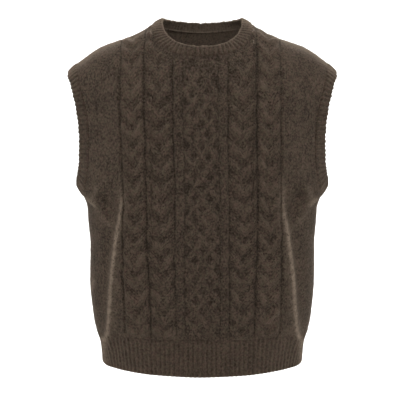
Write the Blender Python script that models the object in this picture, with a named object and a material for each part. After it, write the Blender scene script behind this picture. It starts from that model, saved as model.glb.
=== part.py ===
"""A sleeveless knitted vest, hollow and filled out as it is when worn.

The front carries five upright bands of cables, the back is plain, and the neck, the armholes and the
hem are ribbed. Lengths are in metres and +Z is up. The front faces -Y and the origin lies midway
between the two points where the shoulders meet the neckband, where the wearer carries the vest.

Each panel is drawn on one curved sheet for each face of the body. A place on a sheet has two
numbers: how far round the body it is, as an arc from the middle of the face, and its rise, which is
the height up to where the shoulder starts to roll over and the length along the cloth from there.
"""

import math

import bmesh
import bpy
import numpy as np

# ---------------------------------------------------------------- driving dimensions

WALL = 0.0028
SEAM_GAP = 0.0003
SEAM_REACH = 0.008
BAND_GAP = 0.0006
HEM_BOTTOM = -0.643
HEM_TOP = -0.573
UNDERARM = -0.307
UNDERARM_SEAM = -0.330
SHOULDER_LEVEL = -0.098
SHOULDER_DEPTH = 0.095

RIB_HEIGHT = 0.0014
HEM_RIBS_PER_SIDE = 66
NECK_RIBS_PER_SIDE = 38
ARM_RIBS_PER_SIDE = 36
BAND_BULGE = 0.0003

NECK_HALF_WIDTH = 0.0717
NECK_SEAM_HALF_WIDTH = 0.091
NECK_POINT_DROP = 0.0115
NECK_ROUNDNESS = {"front": 2.4, "back": 1.5}
NECK_PLAN_ROUNDNESS = 2.2
NECK_EDGE_DROP = {"front": 0.0480, "back": 0.0088}
NECK_EDGE_DEPTH = {"front": 0.086, "back": 0.066}
NECK_SEAM_DROP = {"front": 0.0668, "back": 0.0255}

ARMHOLE_HALF_GAP = 0.054
ARMHOLE_WIDEST = -0.203
ARMHOLE_ROUNDNESS = 2.3

# The cables and the columns between them, as half widths measured round from the middle
LATTICE_EDGE = 0.0310
COLUMN_EDGE = 0.0475
INNER_CABLE_EDGE = 0.0985
OUTER_CABLE_EDGE = 0.1415
GUTTER = 0.0035
CABLE_HEIGHT = 0.0042
CABLE_REPEAT = 0.0332
CABLE_RISE = 0.0255
CABLE_BOW = 1.06
CABLE_VALLEY = 0.15
CABLE_DIP = 0.2
LATTICE_HEIGHT = 0.0032
LATTICE_WIDTH = 0.0264
LATTICE_REPEAT = 0.0369
COLUMN_HEIGHT = 0.0024
EDGE_HEIGHT = 0.0014
EDGE_REACH = 0.025
EDGE_FADE = 0.020
EDGE_SHARE = 0.4

# How many cells each stretch of a panel has
SIDE_ROWS = 36
CORNER_ROW = 14
CORNER_CLOSENESS = 1.25
BACK_COLUMNS = 12
BACK_ROWS = 26
BACK_CORNER_ROW = 11
LEVEL_ENOUGH = 0.0032

# The columns that end on the steep part of the neckband's seam are moved out a little
NECK_STEEP_PLACE = 0.081
NECK_STEEP_WIDTH = 0.009
NECK_STEEP_SHIFT = 0.005
TOP_ZONE = 0.090

OUTLINE_COLUMNS = ("height", "half_width")
OUTLINE = (
    (-0.643, 0.1884),
    (-0.625, 0.1901),
    (-0.605, 0.1918),
    (-0.586, 0.1960),
    (-0.566, 0.2014),
    (-0.537, 0.2053),
    (-0.485, 0.2090),
    (-0.411, 0.2086),
    (-0.373, 0.2111),
    (-0.345, 0.2124),
    (-0.335, 0.2149),
    (-0.326, 0.2189),
    (-0.317, 0.2258),
    (-0.307, 0.2324),
    (-0.295, 0.2310),
    (-0.255, 0.2243),
    (-0.213, 0.2229),
    (-0.163, 0.2274),
    (-0.128, 0.2359),
    (-0.098, 0.2450),
)

# Depths from the plane of the side seams, and how square the section is across and along
SECTION_COLUMNS = ("height", "front", "back", "flatness", "turn")
SECTION = (
    (-0.643, 0.1150, 0.1040, 1.82, 2.00),
    (-0.611, 0.1145, 0.1040, 2.10, 2.25),
    (-0.573, 0.1140, 0.1045, 2.50, 2.60),
    (-0.506, 0.1160, 0.1055, 2.90, 2.95),
    (-0.454, 0.1170, 0.1062, 3.00, 3.00),
    (-0.402, 0.1175, 0.1070, 3.00, 3.00),
    (-0.350, 0.1172, 0.1090, 2.88, 2.75),
    (-0.330, 0.1168, 0.1098, 2.76, 2.60),
    (-0.307, 0.1160, 0.1102, 2.62, 2.35),
    (-0.289, 0.1152, 0.1105, 2.52, 1.95),
    (-0.259, 0.1140, 0.1105, 2.44, 1.48),
    (-0.218, 0.1120, 0.1100, 2.40, 1.25),
    (-0.148, 0.1070, 0.1060, 2.40, 1.15),
    (-0.069, 0.0990, 0.0950, 2.40, 1.15),
    (0.039, 0.0920, 0.0860, 2.40, 1.15),
)

# The shoulder line from the middle out. Inside the neck it only shapes the roll
SHOULDER_COLUMNS = ("across", "height", "roll")
SHOULDER = (
    (0.0000, 0.0293, 0.150),
    (0.0296, 0.0254, 0.150),
    (0.0593, 0.0117, 0.150),
    (0.0910, -0.0115, 0.148),
    (0.1059, -0.0217, 0.140),
    (0.1288, -0.0328, 0.127),
    (0.1586, -0.0426, 0.110),
    (0.1835, -0.0512, 0.096),
    (0.2015, -0.0616, 0.086),
    (0.2166, -0.0732, 0.079),
    (0.2317, -0.0847, 0.074),
    (0.2450, -0.0962, 0.070),
)

# Where the armbands are sewn on
ARM_SEAM_COLUMNS = ("height", "across")
ARM_SEAM = (
    (-0.330, 0.2197),
    (-0.322, 0.2163),
    (-0.311, 0.2126),
    (-0.299, 0.2091),
    (-0.279, 0.2054),
    (-0.255, 0.2030),
    (-0.223, 0.2018),
    (-0.193, 0.2032),
    (-0.163, 0.2071),
    (-0.133, 0.2140),
    (-0.103, 0.2215),
    (-0.081, 0.2274),
)

# How the cloth is spread sideways at each height
SPREAD_COLUMNS = ("rise", "spread")
SPREAD = (
    (-0.573, 0.994),
    (-0.423, 1.019),
    (-0.330, 1.000),
    (-0.098, 1.014),
    (0.039, 1.015),
)

# The long fold down each side of the front, and of the back, as places across at each height
FOLD_COLUMNS = ("height", "front", "back", "front_lift", "back_lift")
FOLD = (
    (-0.643, 0.1794, 0.1717, 0.0006, 0.0004),
    (-0.574, 0.1744, 0.1688, 0.0028, 0.0016),
    (-0.528, 0.1698, 0.1652, 0.0036, 0.0022),
    (-0.462, 0.1641, 0.1583, 0.0040, 0.0026),
    (-0.417, 0.1588, 0.1527, 0.0038, 0.0026),
    (-0.372, 0.1522, 0.1461, 0.0032, 0.0020),
    (-0.335, 0.1458, 0.1407, 0.0020, 0.0012),
    (-0.305, 0.1414, 0.1364, 0.0000, 0.0000),
)
FOLD_WIDTH = 0.0085
FOLD_SHARES = (0.0, 0.20, 0.32, 0.44, 0.56, 1.0)
FOLD_TOP = -0.250
FOLD_EASE = 0.110
FOLD_HOLLOW_SHIFT = 0.019
FOLD_HOLLOW_SHARE = 0.45

# Creases that the underarm pulls into the cloth, each from one end to the other
CREASE_COLUMNS = ("from_across", "from_height", "to_across", "to_height", "lift", "width")
CREASES = (
    (0.180, -0.312, 0.174, -0.351, -0.0036, 0.0180),
    (0.194, -0.295, 0.156, -0.261, 0.0020, 0.0180),
)

WOOL_COLOUR = (0.052, 0.037, 0.027, 1.0)
WOOL_ROUGHNESS = 0.95

NORMAL_STEP = 0.003
LEVEL_COUNT = 108
ANGLE_COUNT = 97

# ---------------------------------------------------------------- curves through tables


def column_of(table, columns, name):
    """One named column of a table."""
    return np.array([row[columns.index(name)] for row in table])


def smooth_curve(places, values):
    """A curve through the points that rises and falls only where they do."""
    step = np.diff(places)
    slope = np.diff(values) / step
    tangent = np.zeros(len(values))
    tangent[0], tangent[-1] = slope[0], slope[-1]
    for i in range(1, len(values) - 1):
        if slope[i - 1] * slope[i] > 0:
            tangent[i] = 2 * slope[i - 1] * slope[i] / (slope[i - 1] + slope[i])

    def value(place):
        place = np.clip(place, places[0], places[-1])
        i = np.clip(np.searchsorted(places, place, side="right") - 1, 0, len(step) - 1)
        t = (place - places[i]) / step[i]
        ends = values[i] * (1 + 2 * t) * (1 - t) ** 2 + values[i + 1] * t * t * (3 - 2 * t)
        bends = tangent[i] * t * (1 - t) ** 2 - tangent[i + 1] * t * t * (1 - t)
        return ends + step[i] * bends

    return value


def table_curve(table, columns, name):
    """The smooth curve of one column over the table's first column."""
    return smooth_curve(column_of(table, columns, columns[0]), column_of(table, columns, name))


half_width = table_curve(OUTLINE, OUTLINE_COLUMNS, "half_width")
flatness = table_curve(SECTION, SECTION_COLUMNS, "flatness")
turn = table_curve(SECTION, SECTION_COLUMNS, "turn")
body_depth = {side: table_curve(SECTION, SECTION_COLUMNS, side) for side in ("front", "back")}
ridge = table_curve(SHOULDER, SHOULDER_COLUMNS, "height")
roll = table_curve(SHOULDER, SHOULDER_COLUMNS, "roll")
arm_seam = table_curve(ARM_SEAM, ARM_SEAM_COLUMNS, "across")
spread = table_curve(SPREAD, SPREAD_COLUMNS, "spread")
fold_place = {side: table_curve(FOLD, FOLD_COLUMNS, side) for side in ("front", "back")}
fold_lift = {side: table_curve(FOLD, FOLD_COLUMNS, side + "_lift") for side in ("front", "back")}
FACING = {"front": -1.0, "back": 1.0}

# ---------------------------------------------------------------- the form of the cloth


def armhole_gap(z):
    """Half the distance from the front to the back across the armhole, 0 below the underarm."""
    down = np.clip((ARMHOLE_WIDEST - z) / (ARMHOLE_WIDEST - UNDERARM), 0, 1)
    return ARMHOLE_HALF_GAP * (1 - down**ARMHOLE_ROUNDNESS) ** (1 / ARMHOLE_ROUNDNESS)


def sweep(x):
    """The length of cloth in the roll of the shoulder, a quarter of an ellipse."""
    reach = np.clip(x / half_width(SHOULDER_LEVEL), 0, 1)
    lean = ARMHOLE_HALF_GAP + (SHOULDER_DEPTH - ARMHOLE_HALF_GAP) * (1 - reach**2.4)
    return math.pi / 2 * np.sqrt((roll(x) ** 2 + lean**2) / 2)


def top_rise(x):
    """The rise at the shoulder line."""
    return ridge(x) - roll(x) + sweep(x)


def rise_at(x, z):
    """The rise of the cloth at a height."""
    start = ridge(x) - roll(x)
    if z <= start:
        return z
    return start + sweep(x) * math.asin(min((z - start) / roll(x), 1.0)) * 2 / math.pi


def sheet_point(side, angle, rise):
    """A point on the sheet, from its angle round the section and its rise."""
    level = min(rise, SHOULDER_LEVEL)
    x = half_width(level) * math.sin(angle) ** (2 / flatness(level))
    start = ridge(x) - roll(x)
    lean = np.clip((rise - start) / sweep(x), 0, 1) * math.pi / 2
    z = start + roll(x) * math.sin(lean) if rise > start else rise
    gap = armhole_gap(z)
    cosine = max(math.cos(angle), 0.0)
    depth = gap + (body_depth[side](z) - gap) * cosine ** (2 / turn(level))
    return np.array([x, FACING[side] * depth * math.cos(lean), z])


def angle_across(x, rise):
    """The angle round the section of a place given by its distance across."""
    level = min(rise, SHOULDER_LEVEL)
    return math.asin(min(x / half_width(level), 1.0) ** (flatness(level) / 2))


LEVELS = np.linspace(HEM_BOTTOM, SHOULDER_LEVEL, LEVEL_COUNT)
ANGLES = math.pi / 4 * (1 - np.cos(np.linspace(0, math.pi, ANGLE_COUNT)))


def section_arcs(side):
    """For each level, the arc from the middle of the face to each angle."""
    arcs = []
    for level in LEVELS:
        gap = armhole_gap(level)
        x = half_width(level) * np.sin(ANGLES) ** (2 / flatness(level))
        cosine = np.clip(np.cos(ANGLES), 0, 1)
        y = gap + (body_depth[side](level) - gap) * cosine ** (2 / turn(level))
        arcs.append(np.concatenate([[0], np.cumsum(np.hypot(np.diff(x), np.diff(y)))]))
    return np.array(arcs)


ARCS = {side: section_arcs(side) for side in ("front", "back")}


def level_share(rise):
    """The level below a rise, and how far the rise is on the way to the next."""
    place = (min(rise, SHOULDER_LEVEL) - LEVELS[0]) / (LEVELS[1] - LEVELS[0])
    below = int(np.clip(math.floor(place), 0, len(LEVELS) - 2))
    return below, place - below


def half_arc(side, rise):
    """The arc from the middle of a face to its edge."""
    below, share = level_share(rise)
    return ARCS[side][below, -1] * (1 - share) + ARCS[side][below + 1, -1] * share


def angle_of_arc(side, arc, rise):
    """The angle at an arc from the middle."""
    below, share = level_share(rise)
    part = arc / half_arc(side, rise)
    low, high = ARCS[side][below], ARCS[side][below + 1]
    return (1 - share) * np.interp(part, low / low[-1], ANGLES) + share * np.interp(
        part, high / high[-1], ANGLES
    )


def arc_of_angle(side, angle, rise):
    """The arc from the middle to an angle."""
    below, share = level_share(rise)
    low, high = ARCS[side][below], ARCS[side][below + 1]
    part = (1 - share) * np.interp(angle, ANGLES, low / low[-1]) + share * np.interp(
        angle, ANGLES, high / high[-1]
    )
    return part * half_arc(side, rise)


def at_arc(side, arc, rise):
    """The point of the sheet at a signed arc from the middle, +X positive."""
    point = sheet_point(side, angle_of_arc(side, abs(arc), rise), rise)
    point[0] = math.copysign(point[0], arc)
    return point


def outward(side, arc, rise):
    """The direction out of the cloth. On the seams between the faces it keeps to their plane."""
    step = NORMAL_STEP
    top = top_rise(abs(at_arc(side, arc, min(rise, SHOULDER_LEVEL))[0]))
    edge = half_arc(side, rise)
    across = at_arc(side, min(arc + step, edge), rise) - at_arc(side, max(arc - step, -edge), rise)
    along = at_arc(side, arc, min(rise + step, top)) - at_arc(side, arc, rise - step)
    normal = np.cross(across, along) * -FACING[side]
    normal /= np.linalg.norm(normal)
    near_seam = math.exp(-((at_arc(side, arc, rise)[1] / SEAM_REACH) ** 2))
    normal[1] *= 1 - near_seam
    return normal / np.linalg.norm(normal)


def fold(side, x, z):
    """How far the folds and creases lift the cloth."""
    place, lift = fold_place[side](z), fold_lift[side](z)
    crest = math.exp(-(((abs(x) - place) / FOLD_WIDTH) ** 2))
    hollow = math.exp(-(((abs(x) - place + FOLD_HOLLOW_SHIFT) / FOLD_WIDTH) ** 2))
    total = lift * (crest - FOLD_HOLLOW_SHARE * hollow)
    for row in CREASES:
        crease = dict(zip(CREASE_COLUMNS, row))
        start = np.array([crease["from_across"], crease["from_height"]])
        run = np.array([crease["to_across"], crease["to_height"]]) - start
        along = np.clip(((abs(x), z) - start) @ run / (run @ run), 0, 1)
        away = np.linalg.norm((abs(x), z) - start - along * run)
        total += crease["lift"] * math.exp(-((away / crease["width"]) ** 2))
    return total


# ---------------------------------------------------------------- the knitted relief


def ridge_wave(phase):
    """1 on the crest of each strand and 0 between strands, for a phase of 1 a strand."""
    return math.cos(math.pi * phase) ** 2


def horseshoe_cable(across, rise):
    """The relief of a cable whose strands part from its middle and rise to both its edges.

    across runs from -1 to 1 over the cable, and rise is the height above the hem.
    """
    strand = (rise - CABLE_RISE * abs(across) ** CABLE_BOW) / CABLE_REPEAT
    crown = (1 - abs(across) ** 8) * (1 - CABLE_DIP * math.exp(-((across / 0.12) ** 2)))
    return CABLE_HEIGHT * (CABLE_VALLEY + (1 - CABLE_VALLEY) * ridge_wave(strand)) * crown


def lattice(across, rise):
    """The relief of the diamonds in the middle, where slanting strands cross."""
    right = across / LATTICE_WIDTH + rise / LATTICE_REPEAT
    left = across / LATTICE_WIDTH - rise / LATTICE_REPEAT
    return LATTICE_HEIGHT * max(ridge_wave(right), ridge_wave(left))


def cable_relief(wale, rise):
    """How far the front's pattern stands out of the wall, for a place in wales from the middle."""
    place = abs(wale)
    if place < LATTICE_EDGE:
        edge = min((LATTICE_EDGE - place) / GUTTER, 1.0)
        return lattice(wale, rise) * edge
    if place < COLUMN_EDGE:
        edge = min((place - LATTICE_EDGE) / GUTTER, (COLUMN_EDGE - place) / GUTTER, 1.0)
        return COLUMN_HEIGHT * edge
    if place < OUTER_CABLE_EDGE:
        inner, outer = COLUMN_EDGE, INNER_CABLE_EDGE
        if place > INNER_CABLE_EDGE:
            inner, outer = INNER_CABLE_EDGE, OUTER_CABLE_EDGE
        return horseshoe_cable((place - (inner + outer) / 2) / ((outer - inner) / 2), rise)
    rise_again = min((place - OUTER_CABLE_EDGE) / GUTTER, 1.0)
    return EDGE_HEIGHT * rise_again * max(1 - (place - OUTER_CABLE_EDGE) / EDGE_REACH, 0.0)


# ---------------------------------------------------------------- panels


def neck_seam_height(side, x):
    """The height of the neckband's seam."""
    roundness = NECK_ROUNDNESS[side]
    inside = max(1 - (x / NECK_SEAM_HALF_WIDTH) ** roundness, 0.0)
    drop = NECK_SEAM_DROP[side] - NECK_POINT_DROP
    return -NECK_POINT_DROP - drop * inside ** (1 / roundness)


def neck_places(side, count):
    """Places across, evenly spaced along the neckband's seam from its middle to the neck point."""
    x = NECK_SEAM_HALF_WIDTH * np.sin(np.linspace(0, math.pi / 2, 400))
    z = np.array([neck_seam_height(side, place) for place in x])
    length = np.concatenate([[0], np.cumsum(np.hypot(np.diff(x), np.diff(z)))])
    return np.interp(np.linspace(0, length[-1], count + 1), length, x)


def edge_arc(side, rise):
    """The arc at the edge of a panel: the side seam, and the armband's seam above it."""
    if rise <= UNDERARM_SEAM:
        return half_arc(side, rise)
    height = rise
    for _ in range(8):
        x = arm_seam(height)
        height += rise - rise_at(x, height)
    return arc_of_angle(side, angle_across(arm_seam(height), rise), rise)


def top_of(side, x):
    """The rise where a panel ends, at the neckband's seam or the shoulder line."""
    if x < NECK_SEAM_HALF_WIDTH - 1e-6:
        return rise_at(x, neck_seam_height(side, x))
    return top_rise(x)


def eased(value):
    """From 0 to 1, slow at both ends."""
    value = min(max(value, 0.0), 1.0)
    return value * value * (3 - 2 * value)


def upright(side, wale, top_across, spacing):
    """The places (arc, rise) up one column of wales, bottom to top.

    Its rows stand spacing apart up to the panel's edge, where the column has moved to top_across.
    """
    top = top_of(side, top_across)
    top_arc = arc_of_angle(side, angle_across(top_across, top), top)
    bottom = HEM_TOP + SEAM_GAP / 2
    rows = round((top - bottom) / spacing)
    places = []
    for row in range(rows + 1):
        rise = bottom + row * spacing if row < rows else top
        own = wale * spread(rise)
        shift = eased(1 - (top - rise) / TOP_ZONE)
        places.append((own * (1 - shift) + top_arc * shift, rise))
    return places


def fold_share(side, share, rise, first, edge):
    """A side column's share of the way to the panel's edge, drawn to the fold below the underarm."""
    place = arc_of_angle(side, angle_across(float(fold_place[side](rise)), rise), rise)
    crest = max(place, first + FOLD_WIDTH)
    foot = crest - (crest - first) / 3
    near = (first, foot, crest, crest + FOLD_WIDTH, crest + 2 * FOLD_WIDTH, edge)
    drawn = np.interp(share, FOLD_SHARES, [(arc - first) / (edge - first) for arc in near])
    upward = eased(1 - (FOLD_TOP - rise) / FOLD_EASE)
    return drawn * (1 - upward) + share * upward


def side_upright(side, share, rows, corner_row, first_arc):
    """The places up a column of the plain side, at a share of the way to the panel's edge."""
    bottom = HEM_TOP + SEAM_GAP / 2
    tip = rise_at(arm_seam(ARM_SEAM[-1][0]), ridge(ARM_SEAM[-1][1]))
    places = []
    for row in range(rows + 1):
        first = first_arc(row)
        if row <= corner_row:
            edge_rise = bottom + (UNDERARM_SEAM - bottom) * row / corner_row
        else:
            on = (row - corner_row) / (rows - corner_row)
            edge_rise = UNDERARM_SEAM + (tip - UNDERARM_SEAM) * on**CORNER_CLOSENESS
        own = share
        if edge_rise < FOLD_TOP:
            own = fold_share(side, share, edge_rise, first[0], edge_arc(side, edge_rise))
        rise = first[1] + (edge_rise - first[1]) * own
        if row == rows:
            across = first[2] + (ARM_SEAM[-1][1] - first[2]) * share
            rise = top_rise(across)
            places.append((arc_of_angle(side, angle_across(across, rise), rise), rise))
            continue
        places.append((first[0] + (edge_arc(side, rise) - first[0]) * own, rise))
    return places


def front_columns():
    """The front's cabled columns from the middle out."""
    lattice_step = LATTICE_WIDTH / 4
    inner = [lattice_step * i for i in range(5)] + [LATTICE_EDGE, LATTICE_EDGE + GUTTER]
    half_steps = (1 / 3, 2 / 3, 0.9, 1.0)
    cables = [COLUMN_EDGE - GUTTER, COLUMN_EDGE]
    for low, high in ((COLUMN_EDGE, INNER_CABLE_EDGE), (INNER_CABLE_EDGE, OUTER_CABLE_EDGE)):
        middle, half = (low + high) / 2, (high - low) / 2
        cables += [middle - half * s for s in half_steps[2::-1]] + [middle]
        cables += [middle + half * s for s in half_steps]
    above = [wale * spread(0.0) for wale in cables]
    corner = min(range(len(above)), key=lambda i: abs(above[i] - NECK_SEAM_HALF_WIDTH))
    above[corner] = NECK_SEAM_HALF_WIDTH
    for i in range(corner):
        steep = (above[i] - NECK_STEEP_PLACE) / NECK_STEEP_WIDTH
        above[i] += NECK_STEEP_SHIFT * math.exp(-(steep**2))
    columns = []
    for wale in inner:
        spacing = LATTICE_REPEAT / 4
        columns.append(upright("front", wale, wale, spacing))
    for wale, top_across in zip(cables, above):
        columns.append(upright("front", wale, top_across, CABLE_REPEAT / 4))
    return columns


def side_columns(side, start, shares, rows, corner_row):
    """The plain columns between a starting column and the panel's edge."""

    def first_arc(row):
        place = start[round(row * (len(start) - 1) / rows)]
        return (*place, abs(at_arc(side, *place)[0]))

    return [side_upright(side, share, rows, corner_row, first_arc) for share in shares]


def back_columns():
    """The back's columns from the middle out, all of them plain."""
    middle_count = 7
    on_neck = neck_places("back", middle_count)
    length = top_rise(NECK_SEAM_HALF_WIDTH) - HEM_TOP
    columns = []
    for i in range(middle_count + 1):
        wale = NECK_SEAM_HALF_WIDTH * i / middle_count
        columns.append(upright("back", wale, on_neck[i], length / BACK_ROWS))
    return columns


def mirrored(columns):
    """The columns of both halves, from -X to +X."""
    left = [[(-arc, rise) for arc, rise in places] for places in columns[:0:-1]]
    return left + columns


def panel_vertex(side, arc, rise, depth, relief, seam):
    """A vertex of a panel: depth is how far it lies under the face of the wall."""
    point, out = at_arc(side, arc, rise), outward(side, arc, rise)
    lift = fold(side, point[0], point[2]) * (0.0 if seam else 1.0)
    point = point + out * (lift + relief - depth)
    limit = SEAM_GAP / 2
    point[1] = FACING[side] * (limit if seam else max(point[1] * FACING[side], limit))
    return point


# ---------------------------------------------------------------- meshes


def knitted_cells(first, second, rise, relief):
    """Triangles between two columns of a panel, level with each other as far as they can be.

    Where a row of one stands level with a row of the other, the cell is cut along its higher
    diagonal.
    """
    faces, i, j = [], 0, 0
    while i < len(first) - 1 or j < len(second) - 1:
        a, d = first[i], second[j]
        more_first, more_second = i < len(first) - 1, j < len(second) - 1
        if more_first and more_second:
            b, c = first[i + 1], second[j + 1]
            if len(first) == len(second) or abs(rise[b] - rise[c]) < LEVEL_ENOUGH:
                across = relief[b] + relief[d] > relief[a] + relief[c] + 1e-7
                faces += [(a, b, d), (b, c, d)] if across else [(a, b, c), (a, c, d)]
                i, j = i + 1, j + 1
                continue
        if not more_second or (more_first and rise[b] < rise[c]):
            faces.append((a, first[i + 1], d))
            i += 1
        else:
            faces.append((a, second[j + 1], d))
            j += 1
    return faces


def zipped(first, second):
    """Triangles between two rows of vertices that start and end together."""
    faces, i, j = [], 0, 0
    while i < len(first) - 1 or j < len(second) - 1:
        next_first = (i + 1) / (len(first) - 1) if i < len(first) - 1 else 2.0
        next_second = (j + 1) / (len(second) - 1) if j < len(second) - 1 else 2.0
        if next_first <= next_second + 1e-9:
            faces.append((first[i], first[i + 1], second[j]))
            i += 1
        else:
            faces.append((first[i], second[j + 1], second[j]))
            j += 1
    return faces


def wool():
    """A plain heather wool."""
    material = bpy.data.materials.new("wool")
    material.use_nodes = True
    shader = material.node_tree.nodes["Principled BSDF"]
    shader.inputs["Base Color"].default_value = WOOL_COLOUR
    shader.inputs["Roughness"].default_value = WOOL_ROUGHNESS
    shader.inputs["Metallic"].default_value = 0.0
    return material


def knitted_object(name, points, faces):
    """One closed piece of knitting."""
    mesh = bpy.data.meshes.new(name)
    mesh.from_pydata([tuple(p) for p in points], [], faces)
    shape = bmesh.new()
    shape.from_mesh(mesh)
    bmesh.ops.remove_doubles(shape, verts=shape.verts, dist=1e-6)
    bmesh.ops.recalc_face_normals(shape, faces=shape.faces)
    shape.to_mesh(mesh)
    shape.free()
    mesh.shade_smooth()
    mesh.set_sharp_from_angle(angle=math.radians(36))
    mesh.materials.append(wool())
    piece = bpy.data.objects.new(name, mesh)
    bpy.context.scene.collection.objects.link(piece)
    return piece


def panel_object(name, side, columns, cabled, inner_columns, inner_rows):
    """A panel from its columns of places, with a plain inside on fewer columns and rows."""
    points, face, lining = [], [], []

    def on_seam(column, row):
        edge = column in (0, len(columns) - 1)
        arc, rise = columns[column][row]
        crown = row == len(columns[column]) - 1
        shoulder = crown and abs(at_arc(side, arc, rise)[0]) >= NECK_SEAM_HALF_WIDTH - 1e-5
        return shoulder or (edge and rise <= UNDERARM_SEAM + 1e-6)

    def add(column, row, depth, relief):
        arc, rise = columns[column][row]
        points.append(panel_vertex(side, arc, rise, depth, relief, on_seam(column, row)))
        return len(points) - 1

    last = len(columns) - 1
    height, rises = [], []
    for i, places in enumerate(columns):
        face.append([])
        for j, (arc, rise) in enumerate(places):
            relief = cable_relief(arc / spread(rise), rise - HEM_TOP) if cabled else 0.0
            relief *= EDGE_SHARE + (1 - EDGE_SHARE) * eased((places[-1][1] - rise) / EDGE_FADE)
            height.append(0.0 if i in (0, last) else relief)
            rises.append(rise)
            face[i].append(add(i, j, 0.0, height[-1]))
    faces = []
    for i in range(last):
        nearer, further = (i + 1, i) if i < last // 2 else (i, i + 1)
        faces += knitted_cells(face[nearer], face[further], rises, height)

    outline = (
        [(i, 0) for i in range(last)]
        + [(last, j) for j in range(len(columns[last]) - 1)]
        + [(i, len(columns[i]) - 1) for i in range(last, 0, -1)]
        + [(0, j) for j in range(len(columns[0]) - 1, 0, -1)]
    )
    rim = {place: add(*place, WALL, 0.0) for place in outline}
    for a, b in zip(outline, outline[1:] + outline[:1]):
        faces.append((face[a[0]][a[1]], face[b[0]][b[1]], rim[b], rim[a]))

    for i in inner_columns:
        count = len(columns[i]) - 1
        lining.append([add(i, round(share * count), WALL, 0.0) for share in inner_rows])
    for left, right in zip(lining, lining[1:]):
        for j in range(len(left) - 1):
            faces.append((left[j], right[j], right[j + 1], left[j + 1]))
    bottom = [rim[(i, 0)] for i in range(last + 1)]
    top = [rim[(i, len(columns[i]) - 1)] for i in range(last + 1)]
    left_side = [rim[(0, j)] for j in range(len(columns[0]))]
    right_side = [rim[(last, j)] for j in range(len(columns[last]))]
    faces += zipped(bottom, [column[0] for column in lining])
    faces += zipped([column[-1] for column in lining], top)
    faces += zipped(lining[0], left_side)
    faces += zipped(right_side, lining[-1])
    knitted_object(name, points, faces)


def sampled(line, share):
    """The point at a share of a line's length."""
    length = np.concatenate([[0], np.cumsum(np.linalg.norm(np.diff(line[:, :3], axis=0), axis=1))])
    place = share * length[-1]
    return np.array([np.interp(place, length, line[:, k]) for k in range(line.shape[1])])


def band_object(name, seams, edges, ribs):
    """A ribbed band between a sewn line and a free edge, each given as stretches round a ring.

    A seam's row is a point and the outward direction there, and an edge's row is a point.
    """
    rings = []
    for seam, edge in zip(seams, edges):
        for i in range(2 * ribs):
            share = i / (2 * ribs)
            sewn, free = sampled(seam, share), sampled(edge, share)
            rings.append((sewn[:3], sewn[3:] / np.linalg.norm(sewn[3:]), free[:3], i % 2 == 0))
    count = len(rings)
    free_line = np.array([ring[2] for ring in rings])
    points, outer, inner = [], [[], [], []], [[], []]

    def add(row, place):
        points.append(place)
        row.append(len(points) - 1)

    for i, (sewn, out, free, crest) in enumerate(rings):
        width = free - sewn
        start = sewn + width / np.linalg.norm(width) * BAND_GAP
        run = free_line[(i + 1) % count] - free_line[i - 1]
        free_out = np.cross(run, width)
        free_out *= np.sign(free_out @ out) / np.linalg.norm(free_out)
        middle_out = out + free_out
        middle_out /= np.linalg.norm(middle_out)
        middle = (start + free) / 2 + middle_out * BAND_BULGE
        relief = RIB_HEIGHT if crest else 0.0
        add(outer[0], start + out * relief)
        add(outer[1], middle + middle_out * relief)
        add(outer[2], free + free_out * relief)
        if crest:
            add(inner[0], start - out * WALL)
            add(inner[1], free - free_out * WALL)
    rows = [row + row[:1] for row in outer + inner[::-1]]
    faces = []
    for first, second in zip(rows, rows[1:] + rows[:1]):
        faces += zipped(first, second)
    knitted_object(name, points, faces)


# ---------------------------------------------------------------- the pieces


def build_front(columns):
    """The cabled front."""
    middle = len(columns) // 2
    half = (4, 8, 12, 16, 20, 26, 29, 32)
    inner = [middle - k for k in half[::-1]] + [middle] + [middle + k for k in half]
    inner_rows = [(j + 0.5) / 17 for j in range(17)]
    panel_object("front_panel", "front", columns, True, inner, inner_rows)


def build_back(columns):
    """The plain back."""
    count = len(columns)
    inner = list(range(1, count - 1, 2))
    inner_rows = [(j + 0.5) / 13 for j in range(13)]
    panel_object("back_panel", "back", columns, False, inner, inner_rows)


def build_hem(name, side):
    """The ribbed hem of one face."""
    count = 2 * HEM_RIBS_PER_SIDE
    top, bottom = HEM_TOP - SEAM_GAP / 2, HEM_BOTTOM
    points, rows = [], []
    for z, depth, step in (
        (top, 0.0, 1),
        ((top + bottom) / 2, 0.0, 1),
        (bottom, 0.0, 1),
        (bottom, WALL, 3),
        (top, WALL, 3),
    ):
        rows.append([])
        for i in range(0, count + 1, step):
            arc = (2 * i / count - 1) * half_arc(side, z)
            relief = RIB_HEIGHT if i % 2 and depth == 0.0 else 0.0
            points.append(panel_vertex(side, arc, z, depth, relief, i in (0, count)))
            rows[-1].append(len(points) - 1)
    faces = [tuple(row[0] for row in rows), tuple(row[-1] for row in rows[::-1])]
    for first, second in zip(rows, rows[1:] + rows[:1]):
        faces += zipped(first, second)
    knitted_object(name, points, faces)


def seam_row(side, arc, rise, on_plane):
    """A point of a seam and the outward direction there, as one row."""
    point = at_arc(side, arc, rise)
    if on_plane:
        point[1] = 0.0
    return np.concatenate([point, outward(side, arc, rise)])


def neck_edge(side, start, end):
    """The free edge of the neckband from one angle to another, 0 at the middle of the face."""
    rows = []
    for angle in np.linspace(start, end, 121):
        sine, cosine = math.sin(angle), max(math.cos(angle), 0.0)
        x = NECK_HALF_WIDTH * abs(sine) ** (2 / NECK_PLAN_ROUNDNESS)
        y = FACING[side] * NECK_EDGE_DEPTH[side] * cosine ** (2 / NECK_PLAN_ROUNDNESS)
        inside = max(1 - (x / NECK_HALF_WIDTH) ** NECK_ROUNDNESS[side], 0.0)
        z = -NECK_EDGE_DROP[side] * inside ** (1 / NECK_ROUNDNESS[side])
        rows.append((math.copysign(x, sine), y, z))
    return np.array(rows)


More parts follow.
